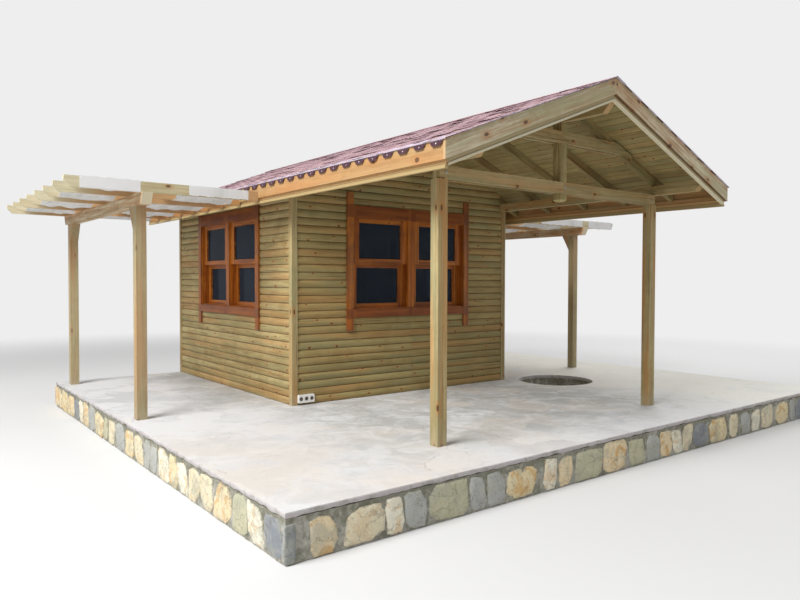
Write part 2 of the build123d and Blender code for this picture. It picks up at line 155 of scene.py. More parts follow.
class BoothJoinery(bpy.types.PropertyGroup):
    """Colours of windows and door."""
    stain_pale: colour("Stain, pale", "Stained joinery where it is light", 196, 112, 34)
    stain_dark: colour("Stain, dark", "Stained joinery in its grain", 112, 56, 16)
    stain_warm: colour("Stain, warm", "Stained joinery where the stain is thin", 206, 132, 52)
    stain_deep: colour("Stain, deep", "Darker head and sill boards", 98, 44, 20)
    stain_dull: colour("Stain, dull", "Weathered battens beside the windows", 118, 80, 58)
    glass: colour("Glass", "Tint of the panes", 78, 90, 106)
    haze: colour("Haze", "Dust on the panes", 104, 112, 120)

    def palette(self):
        return self.stain_pale, self.stain_dark, self.stain_warm, self.stain_deep, self.stain_dark


class BoothRoof(bpy.types.PropertyGroup):
    """Shingles and roof boards."""
    tab_pitch: length("Tab pitch", "Width of one shingle tab with its gap", 0.2015)
    course: length("Course", "Visible height of a shingle course", 0.1353)
    tab_depth: length("Tab depth", "Height of the tapered end of a tab", 0.112)
    drop_width: length("Hanging width", "Width of a hanging tab at its top", 0.14)
    drop_tip: length("Hanging tip", "Width of a hanging tab at its tip", 0.09)
    drop: length("Hanging height", "How far the lowest tabs hang over the fascia", 0.041)
    thickness: length("Shingle thickness", "Thickness of one shingle", 0.003)
    board_width: length("Board width", "Width of a roof board", 0.0945)
    dusty: colour("Shingles, dusty", "Top of the shingles, faded and dusty", 202, 166, 168)
    worn: colour("Shingles, worn", "Bare patches on top of the shingles", 170, 132, 138)
    # Along the eave the starter strip in this colour is partly a painted highlight
    edge: colour("Shingles, edge", "Bleached lower ends of the shingles", 200, 190, 206)
    # Partly painted shade: the hanging tabs, the tabs' edges and what shows through the notches
    plum: colour("Shingles, plum", "Hanging ends of the shingles", 70, 40, 52)


class BoothStone(bpy.types.PropertyGroup):
    """Stones, mortar and paving of the plinth."""
    stone_short: length("Shortest stone", "Least width of a stone", 0.13)
    stone_long: length("Longest stone", "Greatest width of a stone", 0.36)
    mortar_joint: length("Mortar joint", "Typical width of the mortar between stones", 0.035)
    seed: IntProperty(name="Seed", description="Layout of the stones", default=4, min=0)
    flag_size: length("Flagstone size", "Typical width of a paving stone", 0.5)
    mortar: colour("Mortar", "Mortar between the stones", 178, 176, 166)
    mortar_damp: colour("Mortar, damp", "Damp and shaded mortar", 134, 133, 118)
    paving_pale: colour("Paving, pale", "Dusty top of the paving", 219, 219, 220)
    paving_grey: colour("Paving, grey", "Grey paving stones", 191, 192, 194)
    # Partly painted shade under the porch roof, partly wear
    paving_worn_and_shaded: colour("Paving, worn", "Paving that the roof shelters", 168, 166, 158)
    paving_warm: colour("Paving, warm", "Cream patches of the paving", 222, 212, 200)
    # Painted light: brightens the paving on the right, where the roof's shadow falls
    paving_painted_light: colour("Paving, sunny", "Bleached paving on the tree pit's side", 238, 236, 226)
    paving_edge: colour("Paving, edge", "Broken edge of the paving", 190, 184, 184)


class BoothCanvas(bpy.types.PropertyGroup):
    """Woven canvas bands."""
    thickness: length("Thickness", "Thickness of the canvas", 0.0015)
    crease: length("Crease", "Height of the creases", 0.013)
    sag: length("Sag", "How far a band hangs between two rafters", 0.016)
    seed: IntProperty(name="Seed", description="Pattern of the creases", default=11, min=0)
    white: colour("White", "Colour of the canvas", 237, 237, 237)
    shadow: colour("Shadow", "Grey-green hollows of the folds from below", 132, 138, 124)
    # Also painted shade: the grey-green clouds stand for dirt and shade together
    soiled_and_shaded: colour("Soiled", "Grey-green dirt on the canvas", 176, 178, 168)


class BoothStudio(bpy.types.PropertyGroup):
    """Floor and lights."""
    floor: colour("Floor", "Pale floor under the booth", 222, 222, 222)
    backdrop: colour("Backdrop", "Pale surroundings", 238, 238, 238)
    sky: FloatProperty(name="Sky", description="Strength of the light from all round", default=0.35, min=0)
    key: power("Key", "Power of the large lamp", 2500)
    fill: power("Fill", "Power of the second lamp", 75)
    side: power("Side", "Power of the lamp on the right", 650)


class BoothSettings(bpy.types.PropertyGroup):
    """All settings of the booth."""
    timber: PointerProperty(type=BoothTimber)
    joinery: PointerProperty(type=BoothJoinery)
    roof: PointerProperty(type=BoothRoof)
    stone: PointerProperty(type=BoothStone)
    canvas: PointerProperty(type=BoothCanvas)
    studio: PointerProperty(type=BoothStudio)


# Node trees

class Value:
    """A node's output that is added, multiplied and so on like a number."""

    def __init__(self, graph, socket):
        self.graph = graph
        self.socket = socket

    def __add__(self, other):
        return self.graph.math("ADD", self, other)

    def __sub__(self, other):
        return self.graph.math("SUBTRACT", self, other)

    def __rsub__(self, other):
        return self.graph.math("SUBTRACT", other, self)

    def __mul__(self, other):
        return self.graph.math("MULTIPLY", self, other)

    def __truediv__(self, other):
        return self.graph.math("DIVIDE", self, other)

    def __abs__(self):
        return self.graph.math("ABSOLUTE", self)

    __radd__ = __add__
    __rmul__ = __mul__


class Graph:
    """Adds nodes to a tree and joins them up."""

    def __init__(self, tree):
        self.tree = tree

    def node(self, kind, inputs=None, **settings):
        made = self.tree.nodes.new(kind)
        for name, value in settings.items():
            setattr(made, name, value)
        for key, value in (inputs or {}).items():
            self.give(made.inputs[key], value)
        return made

    def give(self, socket, value):
        """Joins a node's output to a socket, or sets the socket to a plain value."""
        if isinstance(value, Value):
            value = value.socket
        if isinstance(value, bpy.types.NodeSocket):
            self.tree.links.new(value, socket)
        else:
            socket.default_value = value

    def value(self, kind, inputs=None, output=0, **settings):
        """One output of a new node."""
        return Value(self, self.node(kind, inputs, **settings).outputs[output])

    def math(self, operation, *values):
        return self.value("ShaderNodeMath", dict(enumerate(values)), operation=operation)

    def vector(self, x, y, z):
        return self.value("ShaderNodeCombineXYZ", {0: x, 1: y, 2: z})

    def parts(self, vector):
        """The x, y and z of a vector."""
        return [Value(self, output) for output in self.node("ShaderNodeSeparateXYZ", {0: vector}).outputs]

    def mix(self, share, first, second):
        return self.value("ShaderNodeMix", {0: share, 6: first, 7: second}, 2, data_type="RGBA")

    def step(self, value, low, high):
        """0 below low, 1 above high and smooth between them. Where low is the greater, 1 falls to 0."""
        return self.value("ShaderNodeMapRange", {"Value": value, "From Min": low, "From Max": high},
                          interpolation_type="SMOOTHSTEP")

    def noise(self, vector, scale=1.0, detail=3.0, roughness=0.55, distortion=0.0):
        return self.value("ShaderNodeTexNoise", {
            "Vector": vector, "Scale": scale, "Detail": detail, "Roughness": roughness,
            "Distortion": distortion})

    def cells(self, vector, scale=1.0, feature="F1", voronoi_dimensions="3D"):
        return self.node("ShaderNodeTexVoronoi", {"Vector": vector, "Scale": scale}, feature=feature,
                         voronoi_dimensions=voronoi_dimensions).outputs

    def chance(self, vector):
        return self.value("ShaderNodeTexWhiteNoise", {"Vector": vector}, "Value")

    def carried(self, name):
        """The value that each point of the mesh carries under a name."""
        return self.value("ShaderNodeAttribute", output="Fac", attribute_name=name)

    def position(self):
        return self.value("ShaderNodeTexCoord", output="Object")

    def facing(self):
        return self.value("ShaderNodeNewGeometry", output="True Normal")


def cleared(holder):
    """The graph of a material's or a world's node tree, emptied."""
    holder.use_nodes = True
    holder.node_tree.nodes.clear()
    return Graph(holder.node_tree)


def finish_of(name, draw, relief=0.002, slope=0.6, **uniform):
    """A material from the colour, height and roughness that a function draws, with values for the rest."""
    material = bpy.data.materials.new(name)
    graph = cleared(material)
    shade, height, roughness = draw(graph)
    shader = graph.node("ShaderNodeBsdfPrincipled", {"Base Color": shade, "Roughness": roughness})
    for key, value in uniform.items():
        shader.inputs[key.replace("_", " ").title().replace("Ior", "IOR")].default_value = value
    bump = graph.node("ShaderNodeBump", {"Height": height, "Distance": relief, "Strength": slope})
    graph.give(shader.inputs["Normal"], bump.outputs[0])
    graph.node("ShaderNodeOutputMaterial", {"Surface": shader.outputs[0]})
    return material


def rusty(name, scale, specks, share, clean, rust, gloss):
    """Metal with specks of rust. gloss is its roughness where it is clean, and how much the rust adds."""
    def draw(graph):
        speck = graph.step(graph.noise(graph.position(), scale, 3.0), *specks)
        return graph.mix(speck * share, srgb(*clean), srgb(*rust)), speck, speck * gloss[1] + gloss[0]
    return finish_of(name, draw, relief=0.0003, metallic=0.6)


# Wood

def along(direction):
    """Where a point lies along, across and through the grain, and whether its face is end grain."""
    def turned(graph, vector, side):
        x, y, z = graph.parts(vector)
        if direction == "x":
            return x, y, z
        if direction == "y":
            return y, x, z
        if direction == "z":
            return z, x, y
        cosine, sine = math.cos(ROOF_PITCH), math.sin(ROOF_PITCH)
        reach = x * side
        down = reach * cosine - z * sine
        out = reach * sine + z * cosine
        return (down, y, out) if direction == "slope" else (y, out, down)

    def axes(graph):
        position = graph.position()
        side = graph.math("SIGN", graph.parts(position)[0])
        u, v, w = turned(graph, position, side)
        facing = abs(turned(graph, graph.facing(), side)[0])
        return u + side * 7.3, v, w, graph.step(facing, 0.55, 0.7)
    return axes


def framed(direction, uprights):
    """Grain for joinery: upright between each pair of distances from its middle, and level elsewhere."""
    def axes(graph):
        x, y, z = graph.parts(graph.position())
        across, depth = (x, y) if direction == "x" else (y, x)
        reach = abs(across)
        upright = 0.0
        for low, high in uprights:
            inside = graph.math("GREATER_THAN", reach, low) * graph.math("LESS_THAN", reach, high)
            upright = graph.math("MAXIMUM", upright, inside)
        level = 1.0 - upright
        u = z * upright + across * level
        w = (across + 5.0) * upright + z * level
        return u, depth, w, 0.0
    return axes


def wood(name, axes, palette, boards=None, joint=0.0, variety=0.2, streak=(0.8, 13.0),
         knots=(6.0, 10.0, 0.12, 0.15), contrast=0.16, blush=0.5, greening=0.5, cracks=0.5, gloss=0.66,
         relief=0.0025, shine=0.3, ends=None, over=None, **uniform):
    """Sawn wood with streaks, growth lines, knots and end grain. Each of its boards has its own tone.

    boards is a pitch and a start. streak says how often streaks come along and across the grain. knots says
    the same of knots, and then a knot's radius and the share of places that have one.
    """
    pale, dark, warm, aged, knot = palette
    often_along, often_across = streak
    knots_along, knots_across, knot_radius, knot_share = knots

    def draw(graph):
        u, v, w, end = axes(graph)
        tone = graph.noise(graph.vector(v * 1.7, w * 1.3, 3.0), 1.0, 1.0)
        hue = graph.noise(graph.vector(v * 1.9, w * 1.6, 9.0), 1.0, 1.0)
        groove = 0.0
        if boards is not None:
            pitch, start = boards
            row = (w - start) / pitch
            number, face = graph.math("FLOOR", row), graph.math("FLOOR", v)
            tone = graph.chance(graph.vector(number, face, 1.0))
            hue = graph.chance(graph.vector(number, face, 7.0))
            u = u + tone * 29.0
            middle = abs(graph.math("FRACT", row) - 0.5)
            groove = graph.step(middle, 0.5 - joint, 0.5 - joint * 0.3)

        def grain(length, breadth, depth, *detail):
            """Noise that is drawn out along the grain."""
            return graph.noise(graph.vector(u * length, v * breadth, w * depth), 1.0, *detail)

        wide = grain(often_along, often_across, often_across, 4.0, 0.62, 0.6)
        fine = grain(4.0, 85.0, 85.0, 3.0, 0.6, 0.3)
        patch = grain(0.6, often_across * 0.4, often_across * 0.45, 3.0)
        mould = grain(1.1, often_across * 0.6, often_across * 0.65, 4.0)
        split = grain(1.3, 80.0, 80.0, 2.0)
        growth = graph.step(abs(graph.math("SINE", wide * 30.0)), 0.6, 0.0)
        level = wide * 0.6 + fine * 0.4 + (tone - 0.5) * variety
        made = graph.mix(graph.step(level, 0.5 - contrast, 0.5 + contrast), dark, pale)
        cloud = graph.noise(graph.position(), 3.0, 5.0, 0.7)
        made = graph.mix(graph.step(cloud, 0.5, 0.66) * 0.45, made, dark)
        made = graph.mix(graph.step(cloud, 0.48, 0.36) * 0.3, made, pale)
        redder = graph.step(patch + hue * 0.08, 0.47, 0.71)
        made = graph.mix(redder * blush, made, warm)
        greener = graph.step(mould - (hue - 0.5) * 0.08, 0.46, 0.66)
        made = graph.mix(greener * greening, made, aged)
        made = graph.mix(growth * 0.2, made, dark)
        made = graph.mix(graph.step(split, 0.64, 0.7) * cracks, made, knot)
        across = (v + w) * knots_across + wide * 0.25
        cell = graph.cells(graph.vector(u * knots_along, across, 0.0), voronoi_dimensions="2D")
        some = graph.math("LESS_THAN", graph.parts(cell["Color"])[0], knot_share)
        eye = graph.step(cell["Distance"], knot_radius, knot_radius * 0.5) * some
        ring = graph.step(cell["Distance"], knot_radius * 2.6, knot_radius) * some
        made = graph.mix(ring * 0.4, made, warm)
        made = graph.mix(eye * 0.85, made, knot)
        made = graph.mix(groove * 0.7, made, knot)
        made = graph.mix(end * 0.75, made, ends or pale)
        if over is not None:
            made = over(graph, made)
        height = wide * 0.4 + fine * 0.5 + growth * -0.15 + eye * -0.4 + groove * -1.5
        return made, height, fine * 0.25 + (gloss - 0.12)
    return finish_of(name, draw, relief=relief, specular_ior_level=shine, **uniform)


def paint(material, *names):
    """Gives CAD nodes a material."""
    for name in names:
        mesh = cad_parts[name].data
        mesh.materials.clear()
        mesh.materials.append(material)


# Pieces

def placed(name, data):
    """A new object in the scene."""
    made = bpy.data.objects.new(name, data)
    bpy.context.scene.collection.objects.link(made)
    return made


def piece_from(name, mesh, material=None, replaces=()):
    """A finished piece at the origin that rides on the booth."""
    made = placed(name, mesh)
    if material is not None:
        mesh.materials.clear()
        mesh.materials.append(material)
    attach(made, "root")
    if replaces:
        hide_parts(*replaces)
    return made


def written(name, shape):
    """The mesh of a finished bmesh."""
    mesh = bpy.data.meshes.new(name)
    shape.to_mesh(mesh)
    shape.free()
    return mesh


def mesh_of(name, build):
    """A mesh that a function draws with bmesh, its normals made to point outwards."""
    shape = bmesh.new()
    build(shape)
    bmesh.ops.recalc_face_normals(shape, faces=shape.faces)
    return written(name, shape)


def skin(shape, rings, closed=True):
    """Faces from each ring of points to the next and, where it is closed, over the first and the last."""
    made = [[shape.verts.new(point) for point in ring] for ring in rings]
    for before, after in zip(made, made[1:]):
        for number in range(len(before)):
            other = (number + 1) % len(before)
            shape.faces.new((before[number], before[other], after[other], after[number]))
    if closed:
        shape.faces.new(made[0])
        shape.faces.new(made[-1])
    return made


def circle(radius, steps, middle=(0.0, 0.0)):
    """Points round a circle, as pairs."""
    turns = [2 * math.pi * number / steps for number in range(steps)]
    return [(middle[0] + radius * math.cos(turn), middle[1] + radius * math.sin(turn)) for turn in turns]


def lathed(profile, steps, middle=(0.0, 0.0)):
    """The rings of a shape turned about Z, from pairs of radius and height."""
    return [[(x, y, height) for x, y in circle(radius, steps, middle)] for radius, height in profile]


def mesh_through(name, rings):
    """A closed mesh through rings of points."""
    return mesh_of(name, lambda shape: skin(shape, rings))


def tree_with(name, sockets):
    """An empty geometry tree, its graph, its inputs by their names and its last node."""
    tree = bpy.data.node_groups.new(name, "GeometryNodeTree")
    tree.interface.new_socket("Geometry", in_out="INPUT", socket_type="NodeSocketGeometry")
    for label, kind in sockets:
        tree.interface.new_socket(label, in_out="INPUT", socket_type="NodeSocket" + kind)
    tree.interface.new_socket("Geometry", in_out="OUTPUT", socket_type="NodeSocketGeometry")
    graph = Graph(tree)
    given = {socket.name: Value(graph, socket) for socket in graph.node("NodeGroupInput").outputs}
    return tree, graph, given, graph.node("NodeGroupOutput")


def end_tree(graph, out, geometry, material):
    """Realize the instances, give them their material and end the tree."""
    real = graph.node("GeometryNodeRealizeInstances", {"Geometry": geometry})
    done = graph.node("GeometryNodeSetMaterial", {"Geometry": real.outputs[0], "Material": material})
    graph.give(out.inputs[0], done.outputs[0])


def rows_tree():
    """Rows and columns of one piece on a turned plane. Each copy has its own tone, and a few curl up."""
    tree, graph, given, out = tree_with("rows_of_pieces", (
        ("Piece", "Object"), ("Rows", "Int"), ("Columns", "Int"), ("Row Spacing", "Float"),
        ("Column Spacing", "Float"), ("Stagger", "Float"), ("Lean", "Float"), ("Curl", "Float"),
        ("Unevenness", "Float"), ("Turn", "Rotation"), ("Place", "Vector"), ("Seed", "Int"),
        ("Material", "Material")))
    one_less = [given[label] - 1.0 for label in ("Rows", "Columns")]
    size_x = one_less[0] * given["Row Spacing"]
    size_y = one_less[1] * given["Column Spacing"]
    grid = graph.node("GeometryNodeMeshGrid", {
        "Size X": size_x, "Size Y": size_y, "Vertices X": given["Rows"], "Vertices Y": given["Columns"]})
    points = graph.node("GeometryNodeMeshToPoints", {"Mesh": grid.outputs[0]})
    x = graph.parts(graph.node("GeometryNodeInputPosition").outputs[0])[0]
    row = graph.math("ROUND", (x + size_x * 0.5) / given["Row Spacing"])
    shift = graph.math("MODULO", row, 2.0) * given["Stagger"] * given["Column Spacing"]
    uneven = given["Unevenness"] * -1.0
    drift = graph.node("FunctionNodeRandomValue", {
        "Min": graph.vector(uneven, uneven, 0.0),
        "Max": graph.vector(given["Unevenness"], given["Unevenness"], 0.0),
        "Seed": given["Seed"]}, data_type="FLOAT_VECTOR").outputs[0]
    lucky = graph.node("FunctionNodeRandomValue", {"Seed": given["Seed"] + 2.0}, data_type="FLOAT")
    curl = given["Curl"] * graph.math("POWER", lucky.outputs[1], 5.0)
    start = graph.vector(size_x * 0.5, size_y * 0.5 + shift, curl * given["Row Spacing"])
    offset = graph.node("ShaderNodeVectorMath", {0: start, 1: drift}, operation="ADD").outputs[0]
    moved = graph.node("GeometryNodeSetPosition", {"Geometry": points.outputs[0], "Offset": offset})
    piece = graph.node("GeometryNodeObjectInfo", {"Object": given["Piece"]})
    lean = graph.vector(0.0, given["Lean"] - curl, 0.0)
    copies = graph.node("GeometryNodeInstanceOnPoints", {
        "Points": moved.outputs[0], "Instance": piece.outputs["Geometry"], "Rotation": lean})
    tone = graph.node("FunctionNodeRandomValue", {"Seed": given["Seed"] + 1.0}, data_type="FLOAT")
    toned = graph.node("GeometryNodeStoreNamedAttribute", {
        "Geometry": copies.outputs[0], "Name": "tone", "Value": tone.outputs[1]},
        data_type="FLOAT", domain="INSTANCE")
    laid = graph.node("GeometryNodeTransform", {
        "Geometry": toned.outputs[0], "Translation": given["Place"], "Rotation": given["Turn"]})
    end_tree(graph, out, laid.outputs[0], given["Material"])
    return tree


def points_tree():
    """One piece at each point, with the size and turn that the point carries."""
    tree, graph, given, out = tree_with("piece_at_points", (("Piece", "Object"), ("Material", "Material")))
    turn, size = [
        graph.value("GeometryNodeInputNamedAttribute", {"Name": name}, data_type="FLOAT_VECTOR")
        for name in ("turn", "size")]
    points = graph.node("GeometryNodeMeshToPoints", {"Mesh": given["Geometry"]})
    piece = graph.node("GeometryNodeObjectInfo", {"Object": given["Piece"]})
    copies = graph.node("GeometryNodeInstanceOnPoints", {
        "Points": points.outputs[0], "Instance": piece.outputs["Geometry"], "Rotation": turn, "Scale": size})
    end_tree(graph, out, copies.outputs[0], given["Material"])
    return tree


def modified(name, mesh, kind, set_up):
    """The plain mesh that one modifier makes, set up by a function."""
    carrier = placed(name + "_base", mesh)
    modifier = carrier.modifiers.new(kind.lower(), kind)
    set_up(modifier)
    bpy.context.view_layer.update()
    made = bpy.data.meshes.new_from_object(carrier.evaluated_get(bpy.context.evaluated_depsgraph_get()))
    made.name = name
    carrier.modifiers.remove(modifier)
    bpy.data.objects.remove(carrier)
    return made


def grown(name, tree, values, base=None):
    """The plain mesh that a geometry tree makes from its values."""
    def set_up(modifier):
        modifier.node_group = tree
        for item in tree.interface.items_tree:
            if item.in_out == "INPUT" and item.name in values:
                modifier[item.identifier] = values[item.name]
    return modified(name, base or bpy.data.meshes.new(name + "_base"), "NODES", set_up)


def smooth(mesh, angle=45.0):
    """Shades a mesh smoothly, but for edges sharper than an angle."""
    mesh.polygons.foreach_set("use_smooth", [True] * len(mesh.polygons))
    mesh.set_sharp_from_angle(angle=math.radians(angle))


def carry(mesh, name, values):
    """Gives each point of a mesh a value under a name."""
    attribute = mesh.attributes.new(name, "FLOAT", "POINT")
    attribute.data.foreach_set("value", values)
    return mesh


def hidden(name, mesh):
    """An object that only serves as the pattern for copies."""
    return bpy.data.objects.new(name, mesh)


# Operators

class BoothOperator:
    """What the booth's operators share."""
    bl_options = {"REGISTER", "UNDO"}

    def execute(self, context):
        self.make(context.scene.booth)
        return {"FINISHED"}


class BOOTH_OT_siding(BoothOperator, bpy.types.Operator):
    """Finish the half-log boards of walls and gables"""
    bl_idname = "booth.siding"
    bl_label = "Siding"

    def make(self, booth):
        look = booth.timber
        # The walls and gables along X take the darker soffit pale and more green as painted shade of the
        # porch roof
        for direction, pale, contrast, greening, names in (
                ("x", look.soffit_pale_and_painted_shade, 0.22, 0.6, ("front_wall", "back_wall", "front_gable", "back_gable")),
                ("y", look.siding_pale, 0.2, 0.4, ("left_wall", "right_wall"))):
            palette = (pale, look.siding_dark, look.siding_warm, look.siding_aged, look.knot)
            paint(wood("siding_along_" + direction, along(direction), palette,
                       boards=(COURSE_HEIGHT, PLINTH_HEIGHT), joint=0.08, variety=0.12, contrast=contrast,
                       blush=0.45, greening=greening, knots=(6.0, 11.0, 0.13, 0.2)), *names)


class BOOTH_OT_posts(BoothOperator, bpy.types.Operator):
    """Finish the posts and the brackets"""
    bl_idname = "booth.posts"
    bl_label = "Posts"

    def make(self, booth):
        look = booth.timber

        def dusty_foot(graph, made):
            """Dust and splashes on the lowest part of a post, and paler wood on the pergola's posts."""
            position = graph.position()
            x, _, height = graph.parts(position)
            outer = graph.step(abs(x), 2.6, 2.9)
            made = graph.mix(outer * 0.3, made, look.grime)
            splash = graph.noise(position, 14.0, 4.0)
            share = graph.step(height + splash * 0.22, PLINTH_HEIGHT + 0.3, PLINTH_HEIGHT + 0.06)
            return graph.mix(share * 0.45, made, look.grime)

        paint(wood(
            "post_timber", along("z"),
            (look.post_pale, look.post_dark, look.post_warm, look.beam_aged, look.knot),
            streak=(0.5, 27.0), knots=(3.0, 8.0, 0.11, 0.25), contrast=0.17, blush=0.65, greening=0.45,
            over=dusty_foot),
            "corner_posts", "porch_posts", "pergola_left_posts", "pergola_right_posts",
            "pergola_left_brackets", "pergola_right_brackets")


class BOOTH_OT_beams(BoothOperator, bpy.types.Operator):
    """Finish beams, plates, tie boards, collar boards and rafters"""
    bl_idname = "booth.beams"
    bl_label = "Beams and rafters"

    def make(self, booth):
        look = booth.timber
        palette = (look.beam_pale, look.beam_dark, look.beam_warm, look.beam_aged, look.knot)
        bleached = (look.rafter_pale, look.rafter_dark, look.beam_warm, look.beam_aged, look.knot)
        honeyed = (look.barge_pale, look.fascia_dark, look.fascia_warm, look.beam_aged, look.knot)
        # Painted shade: a darker palette for the rafters and king post under the porch roof
        sheltered_and_shaded = (look.soffit_pale_and_painted_shade, look.soffit_shade, look.fascia_dark, look.siding_aged, look.knot)

        def rafter_ends(graph, made):
            """Honey-brown painted shade on the rafters behind the first pergola rafter, bleached towards the
            outer ends.
            """
            x, y, _ = graph.parts(graph.position())
            reach = abs(x)
            made = graph.mix(graph.step(reach, 3.1, 3.6) * 0.4, made, look.rafter_pale)
            made = graph.mix(graph.step(reach, 2.2, 2.1) * 0.6, made, look.fascia_warm)
            # Painted shade on the rafters behind the first one, away from their ends
            behind = graph.step(y, FIRST_PERGOLA_RAFTER + 0.06, FIRST_PERGOLA_RAFTER + 0.1)
            middle = graph.step(reach, 3.75, 3.35)
            return graph.mix(behind * middle * 0.7, made, look.shaded)

        def lapped(graph, made):
            """The dark joint line where two lengths of a pergola beam lap."""
            y = graph.parts(graph.position())[1]
            away = abs(y - PERGOLA_BEAM_JOINT)
            return graph.mix(graph.step(away, 0.003, 0.0015), made, look.knot)

        for name, direction, shades, blush, greening, ends, over, nodes in (
                ("cross_beam_timber", "x", palette, 0.4, 0.5, None, None, ("tie_boards", "collar_boards")),
                ("pergola_rafter_timber", "x", bleached, 0.3, 0.3, look.end_grain, rafter_ends,
                 ("pergola_left_rafters", "pergola_right_rafters")),
                ("long_beam_timber", "y", palette, 0.5, 0.4, look.fascia_pale, None,
                 ("ridge_beam", "eave_plate_left", "eave_plate_right")),
                ("pergola_beam_timber", "y", honeyed, 0.6, 0.2, look.barge_pale, lapped,
                 ("pergola_left_beam", "pergola_right_beam")),
                ("king_post_timber", "z", sheltered_and_shaded, 0.3, 0.6, None, None, ("king_post",)),
                ("rafter_timber", "slope", sheltered_and_shaded, 0.4, 0.5, look.fascia_pale, None,
                 ("rafters_left", "rafters_right"))):
            paint(wood(name, along(direction), shades, streak=(0.6, 20.0), blush=blush, greening=greening,
                       contrast=0.18, knots=(3.5, 7.0, 0.11, 0.25), ends=ends, over=over), *nodes)


class BOOTH_OT_fascias(BoothOperator, bpy.types.Operator):
    """Finish fascias and barge boards with the paler lip along their lower edge"""
    bl_idname = "booth.fascias"
    bl_label = "Fascias"

    def make(self, booth):
        look = booth.timber
        planed = (look.fascia_pale, look.fascia_dark, look.fascia_warm, look.fascia_aged, look.knot)
        greyed = (look.barge_pale, look.fascia_dark, look.fascia_warm, look.fascia_aged, look.knot)

        def lip(strip_shade, bead_shade):
            """Lip with its bead, by how far a point lies below the roof's top."""
            def over(graph, made):
                x, _, z = graph.parts(graph.position())
                slope = abs(x) * math.tan(ROOF_PITCH)
                below = APEX_HEIGHT - (z + slope)
                strip = graph.step(below, FASCIA_HEIGHT + 0.001, FASCIA_HEIGHT + 0.003)
                bead = graph.step(below, LIP_HEIGHT - LIP_BEAD - 0.002, LIP_HEIGHT - LIP_BEAD + 0.001)
                made = graph.mix(strip * 0.8, made, strip_shade)
                made = graph.mix(bead * 0.75, made, bead_shade)
                # A thin dark line is painted along the board's lower edge as painted shade; a fainter one
                # runs along the top of the bead
                for edge, share in ((FASCIA_HEIGHT, 0.7), (LIP_HEIGHT - LIP_BEAD, 0.45)):
                    away = abs(below - edge)
                    made = graph.mix(graph.step(away, 0.004, 0.0015) * share, made, look.knot)
                return made
            return over

        for name, direction, palette, blush, greening, knotty, edging, nodes in (
                ("fascia_timber", "y", planed, 0.6, 0.3, 0.15, lip(look.lip_honey, look.lip_cream),
                 ("fascia_left", "fascia_right")),
                ("barge_timber", "slope", greyed, 0.2, 0.7, 0.6, lip(look.beam_pale, look.barge_pale),
                 ("barge_boards_front", "barge_boards_back"))):
            paint(wood(name, along(direction), palette, gloss=0.56, contrast=0.18, streak=(0.5, 15.0),
                       knots=(3.5, 6.0, 0.12, knotty), cracks=0.25, blush=blush, greening=greening,
                       ends=look.fascia_pale, over=edging), *nodes)


class BOOTH_OT_soffit(BoothOperator, bpy.types.Operator):
    """Finish the roof boards that show from below"""
    bl_idname = "booth.soffit"
    bl_label = "Roof boards"

    def make(self, booth):
        look = booth.timber
        palette = (look.soffit_pale_and_painted_shade, look.soffit_dark, look.beam_warm, look.siding_aged, look.knot)
        paint(wood("soffit_timber", along("deck"), palette, boards=(booth.roof.board_width, 0.0), joint=0.06,
                   variety=0.16, contrast=0.2, blush=0.22, greening=0.4, knots=(7.0, 10.6, 0.13, 0.16)),
              "roof_boards_left", "roof_boards_right")


class BOOTH_OT_windows(BoothOperator, bpy.types.Operator):
    """Finish window frames, sashes, parting beads and panes"""
    bl_idname = "booth.windows"
    bl_label = "Windows"

    head_boards = (2.43, 2.58)
    sill_boards = (1.25, 1.365)
    batten_start = 0.8605

    def make(self, booth):
        look = booth.joinery
        stain = {
            "palette": look.palette(), "streak": (0.8, 30.0), "knots": (3.0, 9.0, 0.1, 0.08),
            "contrast": 0.17, "cracks": 0.3, "gloss": 0.46, "relief": 0.0012, "shine": 0.25,
            "coat_weight": 0.04, "coat_roughness": 0.35}

        def weathered(direction):
            """Darker stain on head and sill boards, and duller stain on the battens beside the window."""
            def over(graph, made):
                x, y, height = graph.parts(graph.position())
                share = 0.0
                for low, high in (self.head_boards, self.sill_boards):
                    inside = graph.math("GREATER_THAN", height, low) * graph.math("LESS_THAN", height, high)
                    share = graph.math("MAXIMUM", share, inside)
                made = graph.mix(share * 0.58, made, look.stain_deep)
                reach = abs(x if direction == "x" else y)
                fade = graph.step(graph.noise(graph.position(), 5.0, 4.0), 0.4, 0.62)
                batten = graph.step(reach, self.batten_start - 0.002, self.batten_start) * fade
                return graph.mix(batten * 0.5, made, look.stain_dull)
            return over

        for direction, sides in (("x", ("front",)), ("y", ("left", "right"))):
            for part, uprights, over in (
                    ("frame", ((0.82, 1.0), (0.0, 0.06)), weathered(direction)),
                    ("sashes", ((0.753, 0.9), (0.0, 0.142)), None)):
                names = ["%s_window_%s" % (side, part) for side in sides]
                paint(wood("stained_%s_along_%s" % (part, direction), framed(direction, uprights), over=over,
                           **stain), *names)
        paint(wood("stained_beads", along("z"), **stain), "parting_beads")

        def pane(graph):
            position = graph.position()
            dust = graph.step(graph.noise(position, 3.0, 4.0, 0.6), 0.5, 0.8)
            smear = graph.noise(position, 30.0, 3.0)
            return graph.mix(dust, look.glass, look.haze), smear, dust * 0.06 + 0.02
        paint(finish_of("window_glass", pane, relief=0.0001, transmission_weight=0.7, ior=1.07),
              "window_glass")


